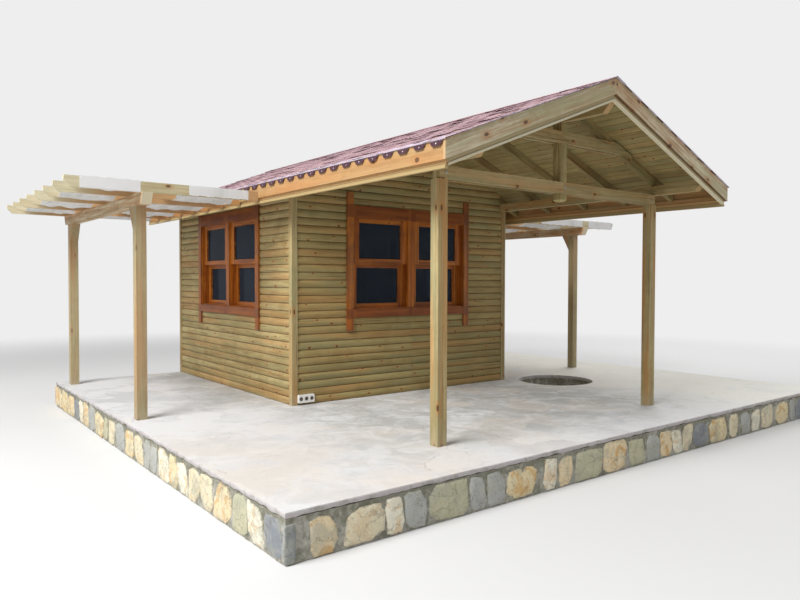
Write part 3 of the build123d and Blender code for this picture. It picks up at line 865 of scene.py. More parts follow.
class BOOTH_OT_door(BoothOperator, bpy.types.Operator):
    """Finish the back door, its frame and its handle"""
    bl_idname = "booth.door"
    bl_label = "Back door"

    def make(self, booth):
        stain = booth.joinery.palette()

        def boarded(graph):
            x, y, z = graph.parts(graph.position())
            return z, y, x, 0.0

        def brushed(graph):
            x, y, z = graph.parts(graph.position())
            lines = graph.noise(graph.vector(x * 30.0, y * 900.0, z * 900.0))
            cloud = graph.noise(graph.position(), 25.0, 3.0)
            shade = graph.mix(cloud, srgb(166, 166, 164), srgb(188, 188, 186))
            return shade, lines, lines * 0.2 + 0.25

        paint(wood("stained_door_boards", boarded, stain, boards=(0.112, -0.448), joint=0.05, gloss=0.4,
                   contrast=0.25, knots=(4.0, 9.0, 0.1, 0.12)), "back_door")
        paint(wood("stained_door_frame", framed("x", ((0.45, 0.6),)), stain, gloss=0.4, contrast=0.25,
                   knots=(3.0, 9.0, 0.1, 0.08)), "back_door_frame")
        paint(finish_of("door_metal", brushed, relief=0.0002, metallic=1.0), "back_door_handle")


class BOOTH_OT_shingles(BoothOperator, bpy.types.Operator):
    """Lay the shingle courses, the tabs that hang over the fascias and the ridge caps"""
    bl_idname = "booth.shingles"
    bl_label = "Shingles"

    edging_tone = 2.0

    def make(self, booth):
        roof = booth.roof
        low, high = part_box("shingles_right")
        ridge_length = high.y - low.y
        columns = round(ridge_length / roof.tab_pitch)
        pitch = ridge_length / columns
        slope_length = high.x / math.cos(ROOF_PITCH)
        rows = round(slope_length / roof.course)
        course = slope_length / rows
        material = self.material(roof)
        tab = hidden("shingle_tab", self.tab(roof, pitch, course))
        drop = hidden("hanging_tab", self.hanging_tab(roof, pitch))
        nail = hidden("tab_nail", self.tab_nail(roof, pitch))
        nail_metal = rusty("nail_metal", 90.0, (0.45, 0.7), 1.0, (206, 204, 200), (170, 146, 120), (0.3, 0.3))
        tree = rows_tree()
        for side, facing, turn in (("left", -1, math.pi), ("right", 1, 0.0)):
            first_y = low.y if facing > 0 else high.y

            def laid(label, piece, count, reach, lift, finish, lean=0.0, curl=0.0):
                """Rows of one piece, the first of them at a reach down the slope."""
                place = (facing * reach * math.cos(ROOF_PITCH), first_y,
                         APEX_HEIGHT - reach * math.sin(ROOF_PITCH) + lift)
                return grown("%s_%s" % (label, side), tree, {
                    "Piece": piece, "Rows": count, "Columns": columns, "Row Spacing": course,
                    "Column Spacing": pitch, "Stagger": 0.5, "Lean": lean, "Curl": curl, "Unevenness": 0.003,
                    "Turn": (0.0, ROOF_PITCH, turn), "Place": place, "Seed": 3 if side == "left" else 8,
                    "Material": finish})

            courses = laid("courses", tab, rows, course, roof.thickness * 1.1, material, -0.016, 0.07)
            drops = laid("drops", drop, 1, slope_length, 0.0, material)
            edges = [self.starter(facing, slope_length, low.y, high.y)]
            edges += [self.verge(facing, slope_length, y, inward) for y, inward in ((low.y, 1), (high.y, -1))]
            name = "shingles_laid_" + side
            piece_from(name, self.joined(name, (courses, drops, *edges), low.y, high.y, facing), material,
                       ("shingles_" + side,))
            nails = laid("nails", nail, 1, slope_length, 0.0, nail_metal)
            piece_from("eave_nails_" + side, nails)
        cap = hidden("ridge_tab", self.ridge_tab(roof, pitch))
        caps = grown("ridge_caps", tree, {
            "Piece": cap, "Rows": columns, "Columns": 1, "Row Spacing": pitch, "Column Spacing": 0.0,
            "Stagger": 0.0, "Lean": -0.012, "Curl": 0.0, "Unevenness": 0.002, "Turn": (0.0, 0.0, math.pi / 2),
            "Place": (0.0, low.y, APEX_HEIGHT + 0.008), "Seed": 21, "Material": material})
        piece_from("ridge_caps", self.joined("ridge_caps", (caps,), low.y, high.y), material, ("ridge_cap",))

    def tab(self, roof, pitch, course):
        """A tab that tapers to half its width and reaches up under the course above, its tip along X."""
        tip, top = roof.tab_depth, course * 2
        outline = ((-top, 0.0), (-tip, 0.0), (0.0, pitch * 0.25),
                   (0.0, pitch * 0.75), (-tip, pitch), (-top, pitch))
        mesh = mesh_through("shingle_tab", [[(x, y, z) for x, y in outline] for z in (roof.thickness, 0.0)])
        return carry(mesh, "reach", [point.co.x / course for point in mesh.vertices])

    def sloped(self, out, up, across):
        """A point by its level and upright distances from the eave's edge, in the slope's own axes."""
        return Vector((out * math.cos(ROOF_PITCH) - up * math.sin(ROOF_PITCH), across,
                       out * math.sin(ROOF_PITCH) + up * math.cos(ROOF_PITCH)))

    def hanging_tab(self, roof, pitch):
        """A tab of the lowest course, bent down over the fascia's top edge and tapered to its tip."""
        half_top, half_tip = roof.drop_width / 2, roof.drop_tip / 2
        thick = roof.thickness * 0.8
        line = ((-0.011, 0.001, half_top), (-0.004, -0.003, half_top), (-0.0025, -0.012, half_top * 0.97),
                (-0.002, -roof.drop * 0.86, half_tip * 1.08), (0.001, -roof.drop, half_tip * 0.92))
        return mesh_through("hanging_tab", [
            [self.sloped(out + depth, up, pitch / 2 + side * half)
             for side, depth in ((-1, 0.0), (-1, thick), (1, thick), (1, 0.0))] for out, up, half in line])

    def tab_nail(self, roof, pitch):
        """A nail's domed head in the middle of a hanging tab."""
        out, middle = roof.thickness * 0.8 - 0.002, (-roof.drop * 0.55, pitch / 2)
        return mesh_through("tab_nail", [
            [self.sloped(out + depth, up, across) for up, across in circle(radius, 8, middle)]
            for radius, depth in ((0.0055, 0.0), (0.0055, 0.0012), (0.003, 0.0024))])

    def on_slope(self, facing, reach, lift, y):
        """A point by its distance down the slope, its height above it and its place along the ridge."""
        return Vector((facing * (reach * math.cos(ROOF_PITCH) + lift * math.sin(ROOF_PITCH)), y,
                       APEX_HEIGHT - reach * math.sin(ROOF_PITCH) + lift * math.cos(ROOF_PITCH)))

    def edging(self, name, rings):
        """A strip through rings of points, in a shingle's pale edge colour, partly a painted highlight along
        the eave.
        """
        mesh = mesh_through(name, rings)
        return carry(mesh, "tone", [self.edging_tone] * len(mesh.vertices))

    def verge(self, facing, slope_length, y, inward):
        """The strip along a gable, whose pale edge shows above the barge board."""
        rings = []
        steps = 30
        for step in range(steps + 1):
            reach = 0.001 + (slope_length - 0.002) * step / steps
            top = 0.0065 + 0.0012 * math.sin(step * 1.7)
            rings.append([self.on_slope(facing, reach, lift, y + inward * depth) for depth, lift in (
                (0.0, 0.0005), (0.0, top), (0.012, top), (0.05, 0.002), (0.05, 0.0005))])
        return self.edging("verge", rings)

    def starter(self, facing, slope_length, low_y, high_y):
        """The unbroken strip under the lowest course, whose edge shows along the eave."""
        rings = []
        steps = 68
        for step in range(steps + 1):
            y = low_y + (high_y - low_y) * step / steps
            wave = 0.0012 * math.sin(step * 1.9) + 0.0008 * math.sin(step * 0.7)
            rings.append([self.on_slope(facing, reach, lift, y) for reach, lift in (
                (slope_length - 0.2, 0.0005), (slope_length + wave, 0.0), (slope_length + wave, 0.007),
                (slope_length - 0.02, 0.0045), (slope_length - 0.2, 0.0045))])
        return self.edging("starter", rings)

    def ridge_tab(self, roof, pitch):
        """A cap shingle bent over the ridge, its lower end tapered, laid along X."""
        width = RIDGE_CAP_REACH / math.cos(ROOF_PITCH)

        def build(shape):
            rings = []
            for x, reach in ((-pitch * 0.2, width), (pitch * 0.6, width), (pitch, width * 0.62)):
                ring = []
                for share in (-1, -0.5, 0, 0.5, 1):
                    fall = abs(share) * reach
                    for thick in (0.0, roof.thickness):
                        ring.append(shape.verts.new((
                            x, share * reach * math.cos(ROOF_PITCH), -fall * math.sin(ROOF_PITCH) + thick)))
                rings.append(ring)
            around = [0, 2, 4, 6, 8, 9, 7, 5, 3, 1]
            for before, after in zip(rings, rings[1:]):
                for a, b in zip(around, around[1:] + around[:1]):
                    shape.faces.new((before[a], before[b], after[b], after[a]))
            for ring in (rings[0], rings[-1]):
                for number in range(0, 8, 2):
                    shape.faces.new((ring[number], ring[number + 1], ring[number + 3], ring[number + 2]))
        mesh = mesh_of("ridge_tab", build)
        return carry(mesh, "reach", [(point.co.x - pitch) / pitch for point in mesh.vertices])

    def joined(self, name, meshes, low_y, high_y, facing=0):
        """One mesh from several, cut off square at the gables, and at the ridge where it faces one side."""
        shape = bmesh.new()
        for mesh in meshes:
            shape.from_mesh(mesh)
        cuts = [((0, low_y, 0), (0, -1, 0)), ((0, high_y, 0), (0, 1, 0))]
        if facing:
            cuts.append(((0, 0, 0), (-facing, 0, 0)))
        for place, direction in cuts:
            geometry = shape.verts[:] + shape.edges[:] + shape.faces[:]
            cut = bmesh.ops.bisect_plane(
                shape, geom=geometry, plane_co=place, plane_no=direction, clear_outer=True)["geom_cut"]
            edges = [part for part in cut if isinstance(part, bmesh.types.BMEdge)]
            bmesh.ops.holes_fill(shape, edges=edges, sides=0)
        return written(name, shape)

    def material(self, roof):
        def draw(graph):
            position = graph.position()
            tone, reach = graph.carried("tone"), graph.carried("reach")
            facing = graph.parts(graph.facing())
            gable_end = graph.step(abs(facing[1]), 0.85, 0.95)
            # Faces that don't face up take the plum: undusted granules with painted shade
            exposed = graph.math("MAXIMUM", graph.step(facing[2], 0.55, 0.85), gable_end)
            tip = graph.step(reach, -0.6, -0.05)
            sheltered_and_shaded = graph.step(reach, -0.92, -1.1)
            patch = graph.noise(position, 2.2, 4.0)
            dust = graph.noise(position, 11.0, 4.0, 0.65)
            grains = graph.noise(position, 420.0, 2.0, 0.7)
            worn = graph.step(patch * 0.6 + tone * 0.4, 0.35, 0.7)
            top = graph.mix(worn, roof.dusty, roof.worn)
            top = graph.mix(tip * graph.step(dust, 0.3, 0.6) * 0.65, top, roof.edge)
            # Painted shade, with the shingles' own dark band, where a tab shows only through the notches
            top = graph.mix(sheltered_and_shaded * graph.step(patch, 0.35, 0.6) * 0.6, top, roof.plum)
            made = graph.mix(exposed, roof.plum, top)
            # Starter and verge strips: the pale edge, partly a painted highlight along the eave
            made = graph.mix(graph.step(tone, 1.2, 1.8), made, roof.edge)
            made = graph.mix(graph.step(grains, 0.45, 0.75) * 0.3, made, roof.plum)
            height = grains + patch * 0.4
            return made, height, dust * 0.1 + 0.83
        return finish_of("bitumen_shingle", draw, relief=0.0012)


def sides_of(low, high):
    """Each side of the plinth: its first corner, direction, outward direction and length."""
    width, depth = high.x - low.x, high.y - low.y
    return (
        (Vector((low.x, low.y, low.z)), Vector((1, 0, 0)), Vector((0, -1, 0)), width),
        (Vector((high.x, low.y, low.z)), Vector((0, 1, 0)), Vector((1, 0, 0)), depth),
        (Vector((high.x, high.y, low.z)), Vector((-1, 0, 0)), Vector((0, 1, 0)), width),
        (Vector((low.x, high.y, low.z)), Vector((0, -1, 0)), Vector((-1, 0, 0)), depth))


def rim_of(low, high, spacing=0.03):
    """Points round the plinth, each with its outward direction."""
    rim = []
    for corner, direction, outward, run in sides_of(low, high):
        count = round(run / spacing)
        for number in range(count):
            facing = outward if number else outward - direction
            rim.append((corner + direction * (run * number / count), facing))
    return rim


def pierced(name, rings, low_z, high_z, steps=64):
    """A smooth body through rings of points, with the tree pit cut through it."""
    edge = circle(TREE_PIT_RADIUS, steps, TREE_PIT_MIDDLE)

    def build(shape):
        walls = skin(shape, rings, closed=False)
        pit = skin(shape, [[(*point, z) for point in edge] for z in (low_z, high_z)], closed=False)
        for outer, inner in ((walls[0], pit[0]), (walls[-1], pit[-1])):
            edges = [shape.edges.get((ring[n], ring[(n + 1) % len(ring)])) for ring in (outer, inner)
                     for n in range(len(ring))]
            bmesh.ops.triangle_fill(shape, edges=edges, use_beauty=True)
    mesh = mesh_of(name, build)
    smooth(mesh)
    return mesh


class BOOTH_OT_plinth(BoothOperator, bpy.types.Operator):
    """Build the rubble plinth: a mortar body with stones fitted into it"""
    bl_idname = "booth.plinth"
    bl_label = "Plinth"

    # How far the mortar lies back, the levels of its rings, the bits and chips of a stone's outline, and its
    # rings' shares of the outline with how far each stands out
    recess = 0.009
    mortar_levels = (0.0, 0.034, 0.067, 0.1, 0.134, 0.168, 0.2, 0.225, 0.25, 0.266, 0.28)
    bits = 3
    chip = 0.0042
    stone_rings = ((0.96, -0.04), (1.0, -recess - 0.006), (0.98, -0.004), (0.93, 0.0), (0.76, 0.003),
                   (0.5, 0.004), (0.25, 0.004))
    kinds = (("slate", (134, 139, 145)), ("grey", (176, 178, 174)), ("olive", (190, 188, 160)),
             ("sand", (224, 213, 184)), ("cream", (234, 229, 210)), ("ochre", (226, 209, 168)),
             ("rust", (230, 210, 172)))

    def make(self, booth):
        stone = booth.stone
        low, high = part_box("plinth_body")
        chance = random.Random(stone.seed)
        body = self.mortar_body(low, high)
        piece_from("plinth_mortar", body, self.mortar(stone), ("plinth_body",))
        stones = self.stones(stone, low, high, chance)
        piece_from("plinth_stones", stones, self.stone_material(stone))

    def mortar_body(self, low, high):
        """The mortar, set back behind the stones' faces."""
        rings = []
        for level in self.mortar_levels:
            rings.append([])
            for place, facing in rim_of(low, high):
                point = place + Vector((0, 0, level))
                rough = 0.007 * noise.noise(point * 9.0) + 0.004 * noise.noise(point * 33.0)
                rings[-1].append(point - facing * (self.recess + rough))
        return pierced("plinth_mortar", rings, low.z, high.z)

    def stones(self, stone, low, high, chance):
        """All stones as one mesh, with each point's kind and tone of stone and how near the rim it lies."""
        shape = bmesh.new()
        layers = shape.verts.layers.float
        kind_layer, tone_layer, rim_layer = [layers.new(name) for name in ("kind", "tone", "rim")]
        numbers = {name: number for number, (name, _) in enumerate(self.kinds)}
        measured_sides = (FRONT_STONES, (), (), LEFT_STONES)
        for (corner, direction, outward, run), measured in zip(sides_of(low, high), measured_sides):
            for start, end, name in self.row(stone, run, measured, chance):
                at_corner = start < 0.01 or run - end < 0.01
                slant = 0.0 if at_corner else min(0.18 * (end - start), 0.03)
                spread = 0.0 if at_corner else 0.005
                lean = chance.uniform(-slant, slant)
                top = (high.z - low.z) * chance.uniform(0.86, 0.99)
                slope = chance.uniform(-slant, slant) * 0.5
                base = chance.uniform(0.005, 0.012)
                corners = ((start - spread + lean, base), (end + spread + lean, base),
                           (end + spread - lean, min(top + slope, high.z)),
                           (start - spread - lean, top - slope))
                cut = 0.12 if at_corner else 0.34
                points = self.stone(shape, corner, direction, outward, corners, cut, chance)
                tone = chance.random()
                for point, rim in points:
                    point[kind_layer] = (numbers[name] + 0.5) / len(self.kinds)
                    point[tone_layer] = tone
                    point[rim_layer] = rim
        bmesh.ops.recalc_face_normals(shape, faces=shape.faces)
        mesh = written("plinth_stones", shape)
        smooth(mesh)
        return mesh

    def row(self, stone, run, measured, chance):
        """Where each stone of a side starts and ends, and its kind: the measured ones and others between."""
        found = []
        at = 0.004
        for start, end, name in (*measured, (run, run, None)):
            while start - at > stone.stone_short + stone.mortar_joint:
                width = chance.uniform(stone.stone_short, stone.stone_long)
                width = min(width, start - at - stone.mortar_joint)
                if start - at - width < stone.stone_short:
                    width = start - at - stone.mortar_joint * (name is not None)
                found.append((at, at + width - 0.004, chance.choice(self.kinds)[0]))
                at += width + stone.mortar_joint * chance.uniform(0.5, 1.4)
            if name is not None:
                found.append((start, end, name))
                at = end + stone.mortar_joint
        return found

    def stone(self, shape, corner, direction, outward, corners, cut, chance):
        """One stone: a broken outline with cut corners, a chamfered rim and an uneven face."""
        turns = []
        for number in range(4):
            here, before, after = (Vector(corners[(number + n) % 4]) for n in (0, -1, 1))
            turns.append(here.lerp(before, chance.uniform(0.05, cut)))
            turns.append(here.lerp(after, chance.uniform(0.05, cut)))
        outline = []
        for here, after in zip(turns, turns[1:] + turns[:1]):
            for step in range(self.bits):
                chipped = [chance.uniform(-self.chip, self.chip) for _ in range(2)]
                outline.append(here.lerp(after, step / self.bits) + Vector(chipped))
        middle = sum((Vector(point) for point in corners), Vector((0, 0))) / 4
        rings = []
        for share, depth in self.stone_rings:
            rings.append([])
            for point in outline:
                s, z = middle + (point - middle) * share
                place = corner + direction * s + Vector((0, 0, z))
                rings[-1].append(place + outward * (depth + self.rough(place) * (depth > -0.01)))
        made = skin(shape, rings, closed=False)
        shape.faces.new(made[0])
        place = corner + direction * middle.x + Vector((0, 0, middle.y))
        centre = shape.verts.new(place + outward * (self.stone_rings[-1][1] + self.rough(place)))
        for number in range(len(outline)):
            shape.faces.new((made[-1][number], made[-1][(number + 1) % len(outline)], centre))
        shares = [share for share, _ in self.stone_rings]
        return [(point, share) for ring, share in zip(made, shares) for point in ring] + [(centre, 0.0)]

    def rough(self, place):
        """How far a stone's face stands out of its plane."""
        ridge = abs(noise.noise(place * 13.0))
        return 0.009 * noise.noise(place * 8.0) - 0.012 * ridge + 0.003 * noise.noise(place * 40.0) + 0.002

    def mortar_shade(self, graph, stone):
        """Grey-green mortar, damp in clouds, with painted shade below the paving."""
        position = graph.position()
        height = graph.parts(position)[2]
        coarse = graph.noise(position, 6.0, 5.0, 0.65)
        # Painted shade: darker towards the top, under the paving's edge
        damp_and_shade = graph.step(coarse + graph.step(height, 0.2, 0.27) * 0.12, 0.38, 0.66)
        made = graph.mix(damp_and_shade, stone.mortar, stone.mortar_damp)
        smear = graph.noise(position, 24.0, 5.0, 0.7, 0.6)
        made = graph.mix(graph.step(smear, 0.5, 0.64) * 0.45, made, srgb(104, 100, 86))
        made = graph.mix(graph.step(smear, 0.48, 0.36) * 0.4, made, srgb(200, 192, 176))
        grit = graph.step(graph.noise(position, 160.0, 3.0, 0.7), 0.5, 0.7)
        return graph.mix(grit * 0.16, made, srgb(204, 200, 188))

    def mortar(self, stone):
        def draw(graph):
            position = graph.position()
            coarse = graph.noise(position, 14.0, 6.0, 0.7)
            fine = graph.noise(position, 130.0, 3.0, 0.7)
            return self.mortar_shade(graph, stone), coarse + fine * 0.3, 0.95
        return finish_of("mortar", draw, relief=0.03, specular_ior_level=0.2)

    def stone_material(self, stone):
        def draw(graph):
            position = graph.position()
            kind, tone, rim = [graph.carried(name) for name in ("kind", "tone", "rim")]
            ramp = graph.node("ShaderNodeValToRGB", {"Fac": kind})
            ramp.color_ramp.interpolation = "CONSTANT"
            while len(ramp.color_ramp.elements) < len(self.kinds):
                ramp.color_ramp.elements.new(0.5)
            for number, (element, (_, shade)) in enumerate(zip(ramp.color_ramp.elements, self.kinds)):
                element.position = number / len(self.kinds)
                element.color = srgb(*shade)
            own = graph.value("ShaderNodeVectorMath", {0: position, 1: graph.vector(tone * 9.0, 0.0, tone)})
            warm_kind = graph.step(kind, 0.25, 0.9)
            rust = graph.step(graph.noise(own, 7.0, 5.0, 0.62, 1.2), 0.51, 0.6)
            pale = graph.step(graph.noise(own, 10.0, 5.0, 0.6), 0.46, 0.64)
            grime = graph.step(graph.noise(own, 5.5, 5.0, 0.66), 0.47, 0.66)
            speckle = graph.step(graph.noise(own, 60.0, 4.0, 0.7), 0.46, 0.66)
            cleft = graph.step(abs(graph.noise(own, 6.0, 4.0) - 0.5), 0.018, 0.0)
            made = graph.mix(pale * (warm_kind * 0.4 + 0.15), ramp.outputs[0], srgb(226, 218, 194))
            made = graph.mix(rust * warm_kind * 0.66, made, srgb(208, 160, 88))
            made = graph.mix(grime * 0.55, made, srgb(166, 167, 152))
            made = graph.mix(speckle * 0.2, made, srgb(120, 112, 94))
            made = graph.mix(cleft * 0.4, made, srgb(104, 92, 72))
            smeared = rim + graph.noise(position, 26.0, 4.0, 0.65) * 0.5
            made = graph.mix(graph.step(smeared, 1.15, 1.32) * 0.85, made, self.mortar_shade(graph, stone))
            coarse = graph.noise(own, 15.0, 6.0, 0.7)
            return made, coarse, coarse * 0.2 + 0.74
        return finish_of("rubble_stone", draw, relief=0.02, specular_ior_level=0.25)


class BOOTH_OT_paving(BoothOperator, bpy.types.Operator):
    """Finish the irregular flagstones on top of the plinth"""
    bl_idname = "booth.paving"
    bl_label = "Paving"

    # Each ring of the slab's edge: its level, how far it lies back and how rough it is
    edge_rings = ((0.0, 0.05, 0.0), (0.004, 0.007, 0.006), (0.018, 0.003, 0.005), (0.033, 0.003, 0.003),
                  (0.04, 0.007, 0.002))

    def make(self, booth):
        stone = booth.stone

        def draw(graph):
            position = graph.position()
            x, y, _ = graph.parts(position)
            bend = graph.noise(position, 1.5, 3.0)
            flat = graph.vector(x + bend * 0.6, y + bend * -0.5, 0.0)
            size = 1 / stone.flag_size
            edge = graph.cells(flat, size, "DISTANCE_TO_EDGE")["Distance"]
            own = graph.parts(graph.cells(flat, size)["Color"])
            cloud = graph.noise(position, 0.9, 5.0, 0.62)
            smear = graph.noise(position, 3.4, 6.0, 0.7, 0.8)
            dust = graph.noise(position, 12.0, 5.0, 0.65, 0.5)
            broken = graph.step(graph.noise(position, 1.9, 3.0), 0.5, 0.62)
            marks = graph.step(graph.noise(graph.vector(x * 7.0, y * 26.0, 0.0), 1.0, 5.0, 0.7), 0.56, 0.68)
            joint = graph.step(edge, 0.014, 0.002) * broken
            greyer = graph.step(own[0] * 0.12 + cloud * 0.44 + smear * 0.44, 0.45, 0.62)
            made = graph.mix(greyer * 0.8, stone.paving_pale, stone.paving_grey)
            # Under the porch roof the paving is greyer and has more marks: partly wear, partly painted shade
            inside = graph.step(abs(x), 2.5, 1.5) * graph.step(y, -4.7, -3.7)
            worn = inside * graph.step(smear, 0.3, 0.6)
            made = graph.mix(worn * 0.6, made, stone.paving_worn_and_shaded)
            corner = graph.step((x + y) * -1.0, 4.0, 7.0)
            warmer = graph.math("MAXIMUM", corner, graph.step(own[1], 0.7, 0.8) * 0.6)
            made = graph.mix(warmer * graph.step(cloud, 0.34, 0.56) * 0.6, made, stone.paving_warm)
            made = graph.mix(marks * (inside * 0.4 + 0.12), made, srgb(140, 138, 128))
            # Painted light on the right of the paving, against the roof's shadow
            painted_light = graph.step(x, 1.4, 3.2) * graph.step(cloud, 0.2, 0.5)
            made = graph.mix(painted_light * 0.8, made, stone.paving_painted_light)
            bluer = graph.step(graph.noise(position, 2.3, 4.0), 0.58, 0.7)
            made = graph.mix(bluer * 0.25, made, srgb(196, 204, 218))
            made = graph.mix(graph.step(dust, 0.54, 0.72) * 0.16, made, srgb(176, 172, 164))
            made = graph.mix(joint * 0.24, made, srgb(146, 142, 134))
            up = graph.parts(graph.facing())[2]
            side = graph.mix(graph.step(dust, 0.45, 0.7) * 0.6, stone.paving_edge, stone.mortar_damp)
            made = graph.mix(graph.step(up, 0.7, 0.3), made, side)
            height = dust * 0.3 + smear * 0.4 + own[2] * 0.15 + joint * -0.4
            return made, height, dust * 0.15 + 0.75
        low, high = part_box("plinth_paving")
        flagstone = finish_of("flagstone", draw, relief=0.01, specular_ior_level=0.25)
        piece_from("paving_slab", self.slab(low, high), flagstone, ("plinth_paving",))

    def slab(self, low, high):
        """The paving with its broken edge, whose lower side runs unevenly over the stones."""
        rings = []
        for level, back, rough in self.edge_rings:
            rings.append([])
            for place, facing in rim_of(low, high, 0.02):
                fine = noise.noise(place * 24.0 + Vector((0, 0, level * 90)))
                chipped = noise.noise(place * 7.0) + 0.6 * fine
                lowered = 0.011 * noise.noise(place * 11.0) if 0.0 < level < 0.01 else 0.0
                point = place + Vector((0, 0, level + max(lowered, -0.003)))
                rings[-1].append(point - facing * (back + rough * (1 + chipped) * 0.6))
        return pierced("paving_slab", rings, low.z, high.z)


class BOOTH_OT_canvas(BoothOperator, bpy.types.Operator):
    """Weave the canvas bands over and under the pergola rafters"""
    bl_idname = "booth.canvas"
    bl_label = "Canvas bands"

    # How far the bands keep from the rafters, and how far from a beam each of them starts
    clearance = 0.0005
    beside_beam = 0.005
    left_inner_start = 0.36
    right_outer_start = 0.045

    def make(self, booth):
        look = booth.canvas
        material = self.material(look)
        number = 0
        for side in ("left", "right"):
            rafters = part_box("pergola_%s_rafters" % side)
            low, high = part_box("pergola_%s_canvas" % side)
            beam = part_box("pergola_%s_beam" % side)
            if side == "left":
                spans = (("outer", low.x, beam[0].x - self.beside_beam, False),
                         ("inner", beam[1].x + self.left_inner_start, high.x, True))
            else:
                spans = (("outer", beam[1].x + self.right_outer_start, high.x, False),
                         ("inner", low.x, beam[0].x - self.beside_beam, True))
            for name, x0, x1, over_first in spans:
                label = "canvas_%s_%s" % (side, name)
                mesh, woven = self.band(label, x0, x1, self.route(rafters, over_first), look, number)
                made = piece_from(label, mesh, material,
                                  replaces=("pergola_%s_canvas" % side,) if name == "outer" else ())
                number += 1

    def route(self, rafters, over_first):
        """The band's line as Y and Z pairs, from the flap on the first rafter to the one on the last."""
        gap = self.clearance
        under, over = rafters[0].z - gap, rafters[1].z + gap
        starts = [FIRST_PERGOLA_RAFTER + PERGOLA_RAFTER_SPACING * n for n in range(PERGOLA_RAFTER_COUNT)]
        levels = [over if (n % 2 == 0) == over_first else under for n in range(PERGOLA_RAFTER_COUNT)]
        line = [(starts[0] - gap, under if over_first else over)]
        for y, level in zip(starts, levels):
            line += [(y - gap, level), (y + PERGOLA_RAFTER_WIDTH + gap, level)]
        line.append((starts[-1] + PERGOLA_RAFTER_WIDTH + gap, over if levels[-1] == under else under))
        return line

    def places(self, line):
        """Points along the band's line, each with how free it hangs, how far along it lies and its normal."""
        points = []
        total = 0.0
        for (y0, z0), (y1, z1) in zip(line, line[1:]):
            run = math.hypot(y1 - y0, z1 - z0)
            count = max(2, round(run / 0.02))
            for step in range(count):
                share = step / count
                free = 4 * share * (1 - share) if run > 0.2 else 0.0
                points.append((y0 + (y1 - y0) * share, z0 + (z1 - z0) * share, free, total + run * share))
            total += run
        points.append((*line[-1], 0.0, total))
        found = []
        for index, (y, z, free, run) in enumerate(points):
            before, after = points[max(index - 1, 0)], points[min(index + 1, len(points) - 1)]
            normal = Vector((0.0, before[1] - after[1], after[0] - before[0])).normalized()
            found.append((y, z, free, run, normal))
        return found, total

    def band(self, name, x0, x1, line, look, number):
        """One band with sag, slanting creases, fluttering edges and uneven ends, and its woven length."""
        chance = random.Random(look.seed + number)
        places, total = self.places(line)
        columns = max(20, round((x1 - x0) / 0.02))
        creases = [[chance.uniform(*limits) for limits in ((-34, 34), (5, 17), (0, 6.28))] for _ in range(7)]

        def build(shape):
            grid = []
            for y, z, free, run, normal in places:
                row = []
                for column in range(columns + 1):
                    across = column / columns
                    x = x0 + (x1 - x0) * across
                    folds = [math.sin(a * x + b * run + c) for a, b, c in creases]
                    crease = sum(fold * abs(fold) for fold in folds) / 3
                    rim = max(0.0, 1 - min(across, 1 - across) * 9)
                    lift = look.crease * crease - look.sag * math.sin(math.pi * across)
                    lift += 0.008 * rim * math.sin(17 * run + 5 * across + number)
                    end = max(0.0, 1 - min(run, total - run) / 0.03)
                    rise = end * 0.0035 * (1.4 + math.sin(43 * x + number) + 0.8 * math.sin(117 * x + 2))
                    drawn_in = 0.006 * rim * free * math.sin(13 * run + number) * (1 if across < 0.5 else -1)
                    row.append(shape.verts.new(
                        Vector((x + drawn_in, y, z + rise)) + normal * (lift * min(1.0, free * 1.6))))
                grid.append(row)
            for before, after in zip(grid, grid[1:]):
                for column in range(columns):
                    shape.faces.new((before[column], before[column + 1], after[column + 1], after[column]))

        def thicken(modifier):
            modifier.thickness = look.thickness
            modifier.offset = 0.0

        sheet = mesh_of(name, build)
        smooth(sheet)
        made = modified(name, sheet, "SOLIDIFY", thicken)
        smooth(made)
        return made, total

    def material(self, look):
        def draw(graph):
            position = graph.position()
            x, y, z = graph.parts(position)
            threads = graph.math("SINE", x * 4200.0) + graph.math("SINE", y * 4200.0)
            slant = graph.vector(x * 7.0 + y * 5.0, y * 2.0, z)
            crease = graph.noise(slant, 1.0, 4.0, 0.6, 0.5)
            # Grey-green clouds of dirt and painted shade
            soil_and_shade = graph.step(graph.noise(position, 2.5, 4.0), 0.45, 0.75) * graph.step(crease, 0.35, 0.7)
            made = graph.mix(soil_and_shade * 0.4, look.white, look.soiled_and_shaded)
            fold = abs(graph.noise(slant, 1.7, 3.0, 0.6, 0.8) - 0.5)
            # Painted shade in the hollows of the folds on the underside
            fold_shade = graph.step(fold, 0.03, 0.0) * graph.step(graph.parts(graph.facing())[2], -0.4, -0.8)
            made = graph.mix(fold_shade * 0.4, made, look.shadow)
            height = crease + threads * 0.04
            return made, height, crease * 0.1 + 0.8
        return finish_of("white_canvas", draw, relief=0.006, sheen_weight=0.2,
                         transmission_weight=0.15, ior=1.1)


